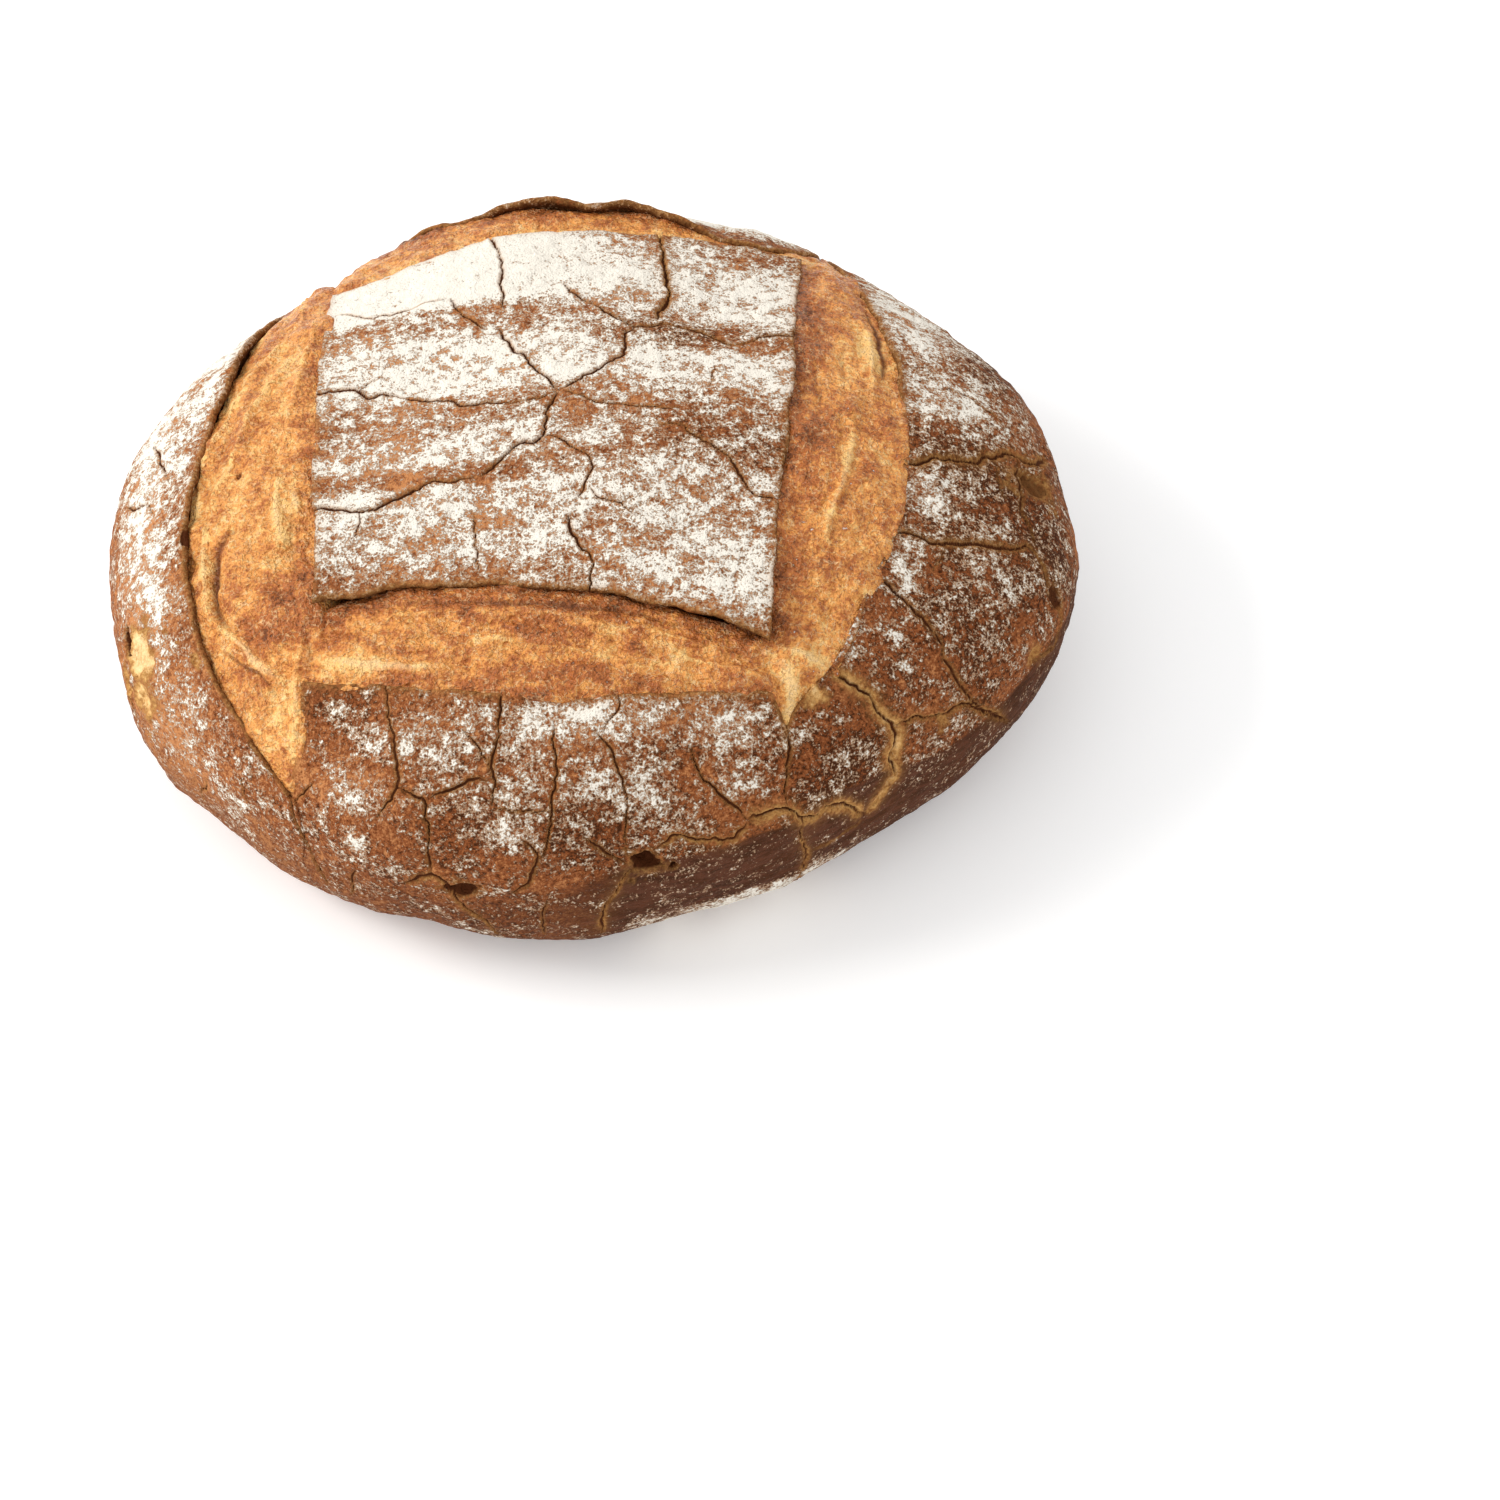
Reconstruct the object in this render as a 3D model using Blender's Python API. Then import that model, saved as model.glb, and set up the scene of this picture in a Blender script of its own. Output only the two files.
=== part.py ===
"""Sourdough loaf: an oval country loaf, scored with four slashes round a square centre, uncut.

The whole loaf is one closed solid. Every point is laid out in skin coordinates: p to the right
and q to the back, measured in metres along the crust from the top of the loaf, so that a slash
drawn on the flat sheet keeps its true length on the domed loaf. Rings of points run out from the
top: over the centre plate, over its lip, down into the slash, over the risen crumb in the slash,
up under the lip of the outer crust, down the side and in under the flat base.
"""

import math

import bmesh
import bpy
import numpy as np

NODE = "loaf"

# Base form: plan half sizes, height, height of the widest level and how far the foot tucks in.
HALF_LENGTH = 0.132
HALF_WIDTH = 0.1165
HEIGHT = 0.094
WAIST_HEIGHT = 0.040
FOOT_TUCK = 0.026
DOME_POWER = 2.3
MEAN_RADIUS = 0.126
CROWN_SHIFT = -0.003
# Plan waves: (waves round the loaf, cosine share, sine share).
PLAN_WAVES = ((2, 0.0, 0.033), (3, 0.0155, -0.0145), (4, 0.018, 0.0))

# Centre plate: corners in skin coordinates, and how far each edge bows away from the centre.
PLATE_CORNERS = {
    "back_left": (-0.077, 0.070),
    "front_left": (-0.064, -0.054),
    "front_right": (0.058, -0.072),
    "back_right": (0.066, 0.085),
}
PLATE_BOWS = {"left": -0.003, "front": -0.006, "right": -0.008, "back": 0.0075}

# Slashes: where each runs out to a point beyond the plate corner, the shoulders where two outer
# edges meet next to it, and how far each outer edge bows away from the centre.
RUN_OUTS = {
    "back_left": (-0.093, 0.110),
    "front_left": (-0.080, -0.105),
    "front_right": (0.066, -0.099),
    "back_right": (0.076, 0.118),
}
SHOULDERS = {
    "left": ((-0.098, 0.056), (-0.091, -0.074)),
    "front": ((-0.069, -0.076), (0.060, -0.088)),
    "right": ((0.077, -0.076), (0.080, 0.087)),
    "back": ((0.069, 0.094), (-0.072, 0.099)),
}
SLASH_BOWS = {"left": 0.004, "front": 0.0085, "right": 0.006, "back": 0.005}
SHOULDER_SHARE = 0.14
PLATE_SHOULDER_SHARE = 0.05

# Lips: rise of the plate edge and of the outer crust edge on each side, and their overhang.
PLATE_LIPS = {"left": 0.0009, "front": 0.0018, "right": 0.0010, "back": 0.0006}
OUTER_LIPS = {"left": 0.0014, "front": 0.0006, "right": 0.0004, "back": 0.0052}
LIP_SPREAD = 0.009
OVERHANG = 0.0012
OVERHANG_SHARE = 0.06
CRUST_THICKNESS = 0.0024
# How far below its lip the crust's torn edge stands out over the slash, as a share of its thickness.
UNDERCUT_SHARE = 0.4
# The ear behind the plate: its rise from right to left along its edge, as a share of its height.
EAR_RISE = ((0.0, 0.05), (0.26, 0.08), (0.42, 0.9), (0.66, 1.0), (0.80, 0.85), (1.0, 0.3))

# Crumb risen in the slashes: depth under the plate's edge and under the outer crust's edge, how far
# it swells between them, and the share of the local slash width that caps the depths.
PLATE_DEPTHS = {"left": 0.0022, "front": 0.0038, "right": 0.0026, "back": 0.0018}
OUTER_DEPTHS = {"left": 0.0028, "front": 0.0012, "right": 0.0014, "back": 0.0018}
SWELLS = {"left": 0.0030, "front": 0.0026, "right": 0.0018, "back": 0.0018}
DEPTH_SHARE = 0.22
# How far the crumb climbs with the ear, as a share of the ear's rise.
EAR_CLIMB = 0.65

# Corner cracks below the run-outs, and the angles at which they reach the foot, in degrees.
CORNER_CRACK_DEPTH = 0.0036
CORNER_CRACK_REACH = 0.55
FOOT_ANGLES = {
    "back_left": 130.0, "front_left": 235.0, "front_right": 301.0, "back_right": 417.0,
}

# Cracks that run out from the middle, each along one line of points: side, share of the side, zone,
# where it starts and ends across the zone, and depth.
CRACKS = (
    ("left", 0.42, "plate", 0.15, 1.0, 0.0010),
    ("left", 0.72, "plate", 0.35, 1.0, 0.0014),
    ("front", 0.58, "plate", 0.45, 1.0, 0.0014),
    ("right", 0.33, "plate", 0.35, 1.0, 0.0010),
    ("right", 0.68, "plate", 0.30, 1.0, 0.0010),
    ("back", 0.32, "plate", 0.50, 1.0, 0.0014),
    ("back", 0.62, "plate", 0.45, 1.0, 0.0014),
    ("front", 0.22, "crust", 0.05, 0.50, 0.0012),
    ("front", 0.40, "crust", 0.05, 0.55, 0.0014),
    ("front", 0.52, "crust", 0.05, 0.65, 0.0014),
    ("front", 0.64, "crust", 0.05, 0.60, 0.0012),
    ("front", 0.80, "crust", 0.15, 0.60, 0.0014),
    ("right", 0.26, "crust", 0.0, 0.75, 0.0014),
    ("right", 0.38, "crust", 0.0, 0.75, 0.0016),
    ("right", 0.52, "crust", 0.0, 0.75, 0.0016),
)

# Tears in the outer crust: (p, q, half length along p, half length along q, depth).
TEARS = (
    (-0.124, -0.055, 0.006, 0.013, 0.0030),
    (0.024, -0.141, 0.007, 0.004, 0.0040),
    (0.122, 0.001, 0.006, 0.004, 0.0026),
    (-0.036, -0.144, 0.005, 0.004, 0.0020),
    (0.102, -0.088, 0.012, 0.005, 0.0022),
)

# Gentle lumps of the crust: (waves per metre along p, along q, phase, rise).
LUMPS = (
    (9.0, 4.0, 0.6, 0.0009),
    (-5.0, 11.0, 2.1, 0.0008),
    (17.0, -13.0, 4.0, 0.0004),
)

# Points round each side and rings in each zone.
POINTS_PER_SIDE = 40
CORNER_BUNCHING = 0.45
PLATE_RINGS = 9
CRUMB_RINGS = 6
CRUST_RINGS = 9
FOOT_RINGS = 5
BASE_RINGS = 2

SIDES = (
    ("left", "back_left", "front_left"),
    ("front", "front_left", "front_right"),
    ("right", "front_right", "back_right"),
    ("back", "back_right", "back_left"),
)

CRUST_COLOUR = (0.42, 0.23, 0.115, 1.0)
CRUST_ROUGHNESS = 0.82


def plan_radius(angle):
    """Distance from the middle to the widest outline in the direction angle."""
    oval = 1.0 / np.sqrt((np.cos(angle) / HALF_LENGTH) ** 2 + (np.sin(angle) / HALF_WIDTH) ** 2)
    wave = 1.0
    for count, cosine, sine in PLAN_WAVES:
        wave = wave + cosine * np.cos(count * angle) + sine * np.sin(count * angle)
    return oval * wave


def make_profile():
    """Reference profile from the crown over the waist to the middle of the base.

    Gives arc length, share of the plan radius and height: a superellipse above the waist, a
    quarter ellipse under it, and the flat base.
    """
    turn = np.linspace(0.0, math.pi / 2.0, 500)
    foot_share = 1.0 - FOOT_TUCK / MEAN_RADIUS
    flat = np.linspace(foot_share, 0.0, 120)[1:]
    share = np.concatenate([
        np.sin(turn) ** (2.0 / DOME_POWER),
        (1.0 - (1.0 - foot_share) * (1.0 - np.cos(turn)))[1:],
        flat,
    ])
    height = np.concatenate([
        WAIST_HEIGHT + (HEIGHT - WAIST_HEIGHT) * np.cos(turn) ** (2.0 / DOME_POWER),
        (WAIST_HEIGHT * (1.0 - np.sin(turn)))[1:],
        np.zeros_like(flat),
    ])
    step = np.hypot(np.diff(share * MEAN_RADIUS), np.diff(height))
    arc = np.concatenate([[0.0], np.cumsum(step)])
    foot_arc = arc[2 * len(turn) - 2]
    waist_arc = arc[len(turn) - 1]
    return arc, share, height, waist_arc, foot_arc


ARC, SHARE, LEVEL, WAIST_ARC, FOOT_ARC = make_profile()


def skin(p, q):
    """Point of the base form at skin coordinates p, q."""
    reach = np.hypot(p, q)
    angle = np.arctan2(q, p)
    radius = np.interp(reach, ARC, SHARE) * plan_radius(angle)
    height = np.interp(reach, ARC, LEVEL)
    crown = np.clip((height - WAIST_HEIGHT) / (HEIGHT - WAIST_HEIGHT), 0.0, 1.0)
    return np.stack([
        radius * np.cos(angle) + CROWN_SHIFT * crown,
        radius * np.sin(angle),
        height,
    ], axis=-1)


def skin_normal(p, q):
    """Outward unit normal of the base form, from differences a millimetre either way."""
    step = 0.001
    along_p = skin(p + step, q) - skin(p - step, q)
    along_q = skin(p, q + step) - skin(p, q - step)
    normal = np.cross(along_p, along_q)
    return normal / np.linalg.norm(normal, axis=-1, keepdims=True)


def bowed(start, end, bow, share):
    """Points from start to end; the middle stands bow to the right of the way travelled."""
    start = np.array(start)
    end = np.array(end)
    along = end - start
    right = np.array([along[1], -along[0]]) / np.hypot(*along)
    share = share[:, None]
    return start + along * share + right * bow * 4.0 * share * (1.0 - share)


def side_shares():
    """Shares of a side at its points, a little closer together near its corners."""
    even = np.arange(POINTS_PER_SIDE) / POINTS_PER_SIDE
    bunched = 0.5 - 0.5 * np.cos(math.pi * even)
    return even * (1.0 - CORNER_BUNCHING) + bunched * CORNER_BUNCHING


def plate_edge(side, first, last, share):
    """Edge of the centre plate; its ends are crossed faster than the run-outs beside them."""
    knots = (0.0, SHOULDER_SHARE, 1.0 - SHOULDER_SHARE, 1.0)
    shares = (0.0, PLATE_SHOULDER_SHARE, 1.0 - PLATE_SHOULDER_SHARE, 1.0)
    return bowed(PLATE_CORNERS[first], PLATE_CORNERS[last], PLATE_BOWS[side],
                 np.interp(share, knots, shares))


def outer_edge(side, first, last, share):
    """Outer edge of a slash: run-out, shoulder, bowed edge, shoulder, run-out."""
    near, far = SHOULDERS[side]
    edge = bowed(near, far, SLASH_BOWS[side],
                 np.clip((share - SHOULDER_SHARE) / (1.0 - 2.0 * SHOULDER_SHARE), 0.0, 1.0))
    head = (np.clip(share / SHOULDER_SHARE, 0.0, 1.0) - 1.0)[:, None]
    tail = (np.clip((1.0 - share) / SHOULDER_SHARE, 0.0, 1.0) - 1.0)[:, None]
    edge = edge + head * (np.array(near) - np.array(RUN_OUTS[first]))
    return edge + tail * (np.array(far) - np.array(RUN_OUTS[last]))


def side_blend(sizes, share, index):
    """Size of a side, eased to the mean with its neighbour at the corners."""
    names = [name for name, _, _ in SIDES]
    own = sizes[names[index]]
    before = 0.5 * (own + sizes[names[index - 1]])
    after = 0.5 * (own + sizes[names[(index + 1) % len(names)]])
    return np.interp(share, (0.0, 0.1, 0.9, 1.0), (before, own, own, after))


def layout():
    """Edges, lip rises, crumb bulge and foot angle for every point round the loaf."""
    share = side_shares()
    keys = ("plate", "outer", "plate_lip", "outer_lip", "plate_depth", "outer_depth", "swell", "ear", "angle")
    rows = {key: [] for key in keys}
    for index, (side, first, last) in enumerate(SIDES):
        rows["plate"].append(plate_edge(side, first, last, share))
        rows["outer"].append(outer_edge(side, first, last, share))
        rows["plate_lip"].append(side_blend(PLATE_LIPS, share, index))
        ear = np.interp(share, *np.array(EAR_RISE).T) if side == "back" else np.ones_like(share)
        rows["outer_lip"].append(side_blend(OUTER_LIPS, share, index) * ear)
        rows["ear"].append(rows["outer_lip"][-1] * EAR_CLIMB * (side == "back"))
        rows["plate_depth"].append(side_blend(PLATE_DEPTHS, share, index))
        rows["outer_depth"].append(side_blend(OUTER_DEPTHS, share, index))
        rows["swell"].append(side_blend(SWELLS, share, index))
        start = FOOT_ANGLES[first]
        end = FOOT_ANGLES[last] + (360.0 if FOOT_ANGLES[last] < start else 0.0)
        rows["angle"].append(np.radians(start + (end - start) * share))
    return {key: np.concatenate(parts) for key, parts in rows.items()}


def crack_depth(zone, across):
    """Depth of the cracks of a zone at every point round the loaf, across its share of the zone."""
    depth = np.zeros(len(SIDES) * POINTS_PER_SIDE)
    names = [name for name, _, _ in SIDES]
    share = side_shares()
    for side, at, where, start, end, deep in CRACKS:
        if where == zone and start <= across <= end:
            number = names.index(side) * POINTS_PER_SIDE + int(np.argmin(np.abs(share - at)))
            depth[number] = deep
    return depth


def crust_relief(p, q):
    """Rise of the crust over the base form: gentle lumps, less the torn hollows."""
    rise = np.zeros_like(p)
    for along_p, along_q, phase, height in LUMPS:
        rise = rise + height * np.sin(2.0 * math.pi * (along_p * p + along_q * q) + phase)
    for at_p, at_q, half_p, half_q, depth in TEARS:
        away = ((p - at_p) / half_p) ** 2 + ((q - at_q) / half_q) ** 2
        rise = rise - depth * np.exp(-away)
    side_fade = np.clip((FOOT_ARC - np.hypot(p, q)) / 0.030, 0.0, 1.0)
    return rise * side_fade


def ring(points, lift):
    """One ring of the solid: skin points lifted along the normal of the base form."""
    p = points[:, 0]
    q = points[:, 1]
    return skin(p, q) + skin_normal(p, q) * (lift + crust_relief(p, q))[:, None]


def plate_rings(plan):
    """Rings of the centre plate, from near the crown to its raised lip."""
    rings = []
    size = np.hypot(plan["plate"][:, 0], plan["plate"][:, 1])
    for step in range(1, PLATE_RINGS + 1):
        share = (step / PLATE_RINGS) ** 0.85
        from_edge = size * (1.0 - share)
        lift = plan["plate_lip"] * np.exp(-from_edge / LIP_SPREAD) - crack_depth("plate", share)
        rings.append(ring(plan["plate"] * share, lift))
    return rings


def slash_rings(plan):
    """Rings of a slash: under the plate lip, over the risen crumb, under the outer lip."""
    across = plan["outer"] - plan["plate"]
    width = np.hypot(across[:, 0], across[:, 1])
    across_unit = across / width[:, None]
    plate_depth = np.minimum(plan["plate_depth"], width * DEPTH_SHARE)
    outer_depth = np.minimum(plan["outer_depth"], width * DEPTH_SHARE)
    swell = np.minimum(plan["swell"], width * DEPTH_SHARE)
    over = np.minimum(OVERHANG, width * OVERHANG_SHARE)[:, None] * across_unit
    plate_tuck = np.minimum(CRUST_THICKNESS, plate_depth) * UNDERCUT_SHARE
    outer_tuck = np.minimum(CRUST_THICKNESS, outer_depth) * UNDERCUT_SHARE
    rings = [ring(plan["plate"] + over, plan["plate_lip"] - plate_tuck)]
    for step in range(CRUMB_RINGS + 1):
        share = step / CRUMB_RINGS
        cushion = (4.0 * share * (1.0 - share)) ** 0.6
        climb = plan["ear"] * max(0.0, 2.0 * share - 1.0)
        level = climb + swell * cushion - plate_depth * (1.0 - share) - outer_depth * share
        rings.append(ring(plan["plate"] + across * share, level))
    rings.append(ring(plan["outer"] - over, plan["outer_lip"] - outer_tuck))
    return rings


def crust_rings(plan):
    """Rings of the outer crust, from its raised lip down to the widest level."""
    foot = WAIST_ARC * np.stack([np.cos(plan["angle"]), np.sin(plan["angle"])], axis=-1)
    corner = np.zeros(len(plan["angle"]))
    corner[::POINTS_PER_SIDE] = 1.0
    rings = []
    for step in range(CRUST_RINGS):
        share = step / CRUST_RINGS
        points = plan["outer"] + (foot - plan["outer"]) * share
        from_edge = np.hypot(*(points - plan["outer"]).T)
        lift = plan["outer_lip"] * np.exp(-from_edge / LIP_SPREAD)
        crack = CORNER_CRACK_DEPTH * np.clip(1.0 - share / CORNER_CRACK_REACH, 0.0, 1.0) * corner
        rings.append(ring(points, lift - np.maximum(crack, crack_depth("crust", share))))
    return rings


def foot_rings(plan):
    """Rings from the widest level under to the base, and in over the flat base."""
    direction = np.stack([np.cos(plan["angle"]), np.sin(plan["angle"])], axis=-1)
    rings = []
    for step in range(FOOT_RINGS):
        reach = WAIST_ARC + (FOOT_ARC - WAIST_ARC) * step / FOOT_RINGS
        rings.append(ring(direction * reach, np.zeros(len(direction))))
    for step in range(BASE_RINGS):
        reach = FOOT_ARC + (ARC[-1] - FOOT_ARC) * step / BASE_RINGS
        points = direction * reach
        rings.append(skin(points[:, 0], points[:, 1]) * np.array([1.0, 1.0, 0.0]))
    return rings


def close_rings(rings):
    """Vertices and faces of the closed solid: a crown point, the rings, a base point."""
    count = len(rings[0])
    crown = rings[0].mean(axis=0) + np.array([0.0, 0.0, 0.0002])
    base = rings[-1].mean(axis=0)
    points = np.concatenate([crown[None], *rings, base[None]])
    last = len(points) - 1
    faces = []
    for i in range(count):
        j = (i + 1) % count
        faces.append((0, 1 + i, 1 + j))
        for k in range(len(rings) - 1):
            top = 1 + k * count
            low = top + count
            faces.append((top + i, low + i, low + j, top + j))
        bottom = last - count
        faces.append((last, bottom + j, bottom + i))
    middle = 0.5 * (points.min(axis=0) + points.max(axis=0))
    points = points - np.array([middle[0], middle[1], 0.0])
    return points, faces


def crust_material():
    """Browned, floured crust: one matt material."""
    material = bpy.data.materials.new("crust")
    material.use_nodes = True
    shader = material.node_tree.nodes["Principled BSDF"]
    shader.inputs["Base Color"].default_value = CRUST_COLOUR
    shader.inputs["Roughness"].default_value = CRUST_ROUGHNESS
    return material


def build_loaf():
    """The loaf as one object, its base on the ground and its plan centred on the origin."""
    plan = layout()
    rings = plate_rings(plan) + slash_rings(plan) + crust_rings(plan) + foot_rings(plan)
    points, faces = close_rings(rings)
    mesh = bpy.data.meshes.new(NODE)
    mesh.from_pydata(points.tolist(), [], faces)
    shape = bmesh.new()
    shape.from_mesh(mesh)
    bmesh.ops.triangulate(shape, faces=shape.faces[:])
    bmesh.ops.recalc_face_normals(shape, faces=shape.faces[:])
    shape.to_mesh(mesh)
    shape.free()
    mesh.materials.append(crust_material())
    loaf = bpy.data.objects.new(NODE, mesh)
    bpy.context.scene.collection.objects.link(loaf)
    return loaf


def clear_scene():
    """Start from an empty scene."""
    for item in list(bpy.data.objects):
        bpy.data.objects.remove(item)


def main():
    """Build the part."""
    clear_scene()
    build_loaf()


main()
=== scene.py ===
"""Sourdough loaf: a country loaf with a square of slashes, floured brown crust and golden crumb.

Every crust and crumb piece is a closed solid laid out in skin coordinates: p to the right and q to
the back, in metres along the crust from the top of the loaf. A piece is a sheet of points spread
between four boundary curves, lifted along the normal of the base form, with walls round its rim and
a pole inside the loaf that closes it.
"""

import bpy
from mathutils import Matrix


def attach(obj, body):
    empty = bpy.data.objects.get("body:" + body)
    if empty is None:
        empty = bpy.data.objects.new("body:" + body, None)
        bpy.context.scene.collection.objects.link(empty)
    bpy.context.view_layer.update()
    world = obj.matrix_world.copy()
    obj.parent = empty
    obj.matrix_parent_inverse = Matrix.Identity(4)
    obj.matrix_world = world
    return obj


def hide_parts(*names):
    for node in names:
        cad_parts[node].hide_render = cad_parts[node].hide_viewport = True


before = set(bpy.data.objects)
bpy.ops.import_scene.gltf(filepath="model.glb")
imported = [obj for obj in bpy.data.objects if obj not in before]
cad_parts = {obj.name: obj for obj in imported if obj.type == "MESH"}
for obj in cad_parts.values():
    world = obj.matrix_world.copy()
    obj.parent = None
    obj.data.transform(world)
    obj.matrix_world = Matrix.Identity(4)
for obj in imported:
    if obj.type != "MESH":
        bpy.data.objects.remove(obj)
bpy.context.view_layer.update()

import math

import bpy
import numpy as np
from mathutils import Vector

bl_info = {
    "name": "Sourdough loaf",
    "version": (1, 0, 0),
    "blender": (4, 5, 0),
    "location": "View3D > Sidebar > Loaf",
    "description": "Builds a scored sourdough loaf with floured crust, and its stage",
    "category": "Add Mesh",
}

MM = 0.001
NODE = "loaf"
BODY = "root"

# Base form: the power of the dome's superellipse, the radius that its profile is measured at, the
# crown's shift, the plan waves (waves per turn, cosine and sine share) and the middle of the plan box;
# then low lumps: turns per metre along p and q, phase, and rise in mm.
DOME_POWER = 2.3
MEAN_RADIUS = 0.126
CROWN_SHIFT = -0.003
PLAN_WAVES = ((2, 0.0, 0.033), (3, 0.0155, -0.0145), (4, 0.018, 0.0))
PLAN_MIDDLE = (0.00225, 0.00067)
LUMPS = ((9.0, 4.0, 0.6, 0.9), (-5.0, 11.0, 2.1, 0.8), (17.0, -13.0, 4.0, 0.4))

# Edges of the centre plate, in mm of skin coordinates, each run counter-clockwise from above.
PLATE_LEFT = ((-77, 70), (-72, 32), (-67, 6), (-64, -15), (-63, -34), (-64, -54))
PLATE_FRONT = ((-64, -54), (-53, -54), (-43, -52), (-30, -53), (-17, -54), (-4, -57), (10, -60),
               (22, -63), (34, -66), (45, -68), (58, -72))
PLATE_RIGHT = ((58, -72), (58, -55), (56, -34), (54, -16), (54, 4), (58, 27), (62, 52), (66, 85))
PLATE_BACK = ((66, 85), (51, 86), (36, 87), (20, 88), (6, 86), (-6, 85), (-25, 84), (-40, 82),
              (-53, 79), (-66, 73), (-77, 70))

# Outer edges of the slashes, from shoulder to shoulder.
OUTER_LEFT = ((-93, 110), (-99, 72), (-99, 49), (-98, 28), (-99, 0), (-99, -19), (-98, -44),
              (-94, -64), (-90, -77), (-86, -88), (-83, -97), (-80, -105))
OUTER_FRONT = ((-69, -76), (-60, -79), (-49, -81), (-33, -85), (-17, -88), (-1, -91), (16, -92),
               (34, -92), (48, -90), (60, -88))
OUTER_RIGHT = ((77, -76), (80, -63), (83, -38), (84, -11), (84, 17), (86, 32), (85, 46), (83, 66),
               (80, 87), (76, 118))
OUTER_BACK = ((71, 98), (57, 90), (45, 91), (32, 94), (20, 99), (5, 101), (-7, 101), (-21, 105),
              (-31, 106), (-43, 103), (-61, 104), (-72, 99))

# Inner edges of the run-outs beside a shoulder, from the shoulder to the run-out's tip.
RUN_FRONT_LEFT = ((-69, -76), (-74, -95), (-80, -105))
RUN_FRONT_RIGHT = ((60, -88), (63, -93), (65, -98))
RUN_RIGHT_FRONT = ((77, -76), (70, -86), (65, -98))
RUN_BACK_RIGHT = ((71, 98), (74, 108), (76, 118))
RUN_BACK_LEFT = ((-72, 99), (-82, 105), (-93, 110))

# Cracks between neighbouring flaps, from a run-out's tip down to the foot.
CORNER_BACK_LEFT = ((-93, 110), (-97, 124), (-108, 138), (-127, 151))
CORNER_FRONT_LEFT = ((-80, -105), (-78, -109), (-81, -117), (-92, -129), (-113, -162))
CORNER_FRONT_RIGHT = ((65, -98), (66, -109), (68, -117), (73, -125), (82, -140), (101, -169))
CORNER_BACK_RIGHT = ((76, 118), (82, 130), (93, 146), (107, 166))

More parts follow.
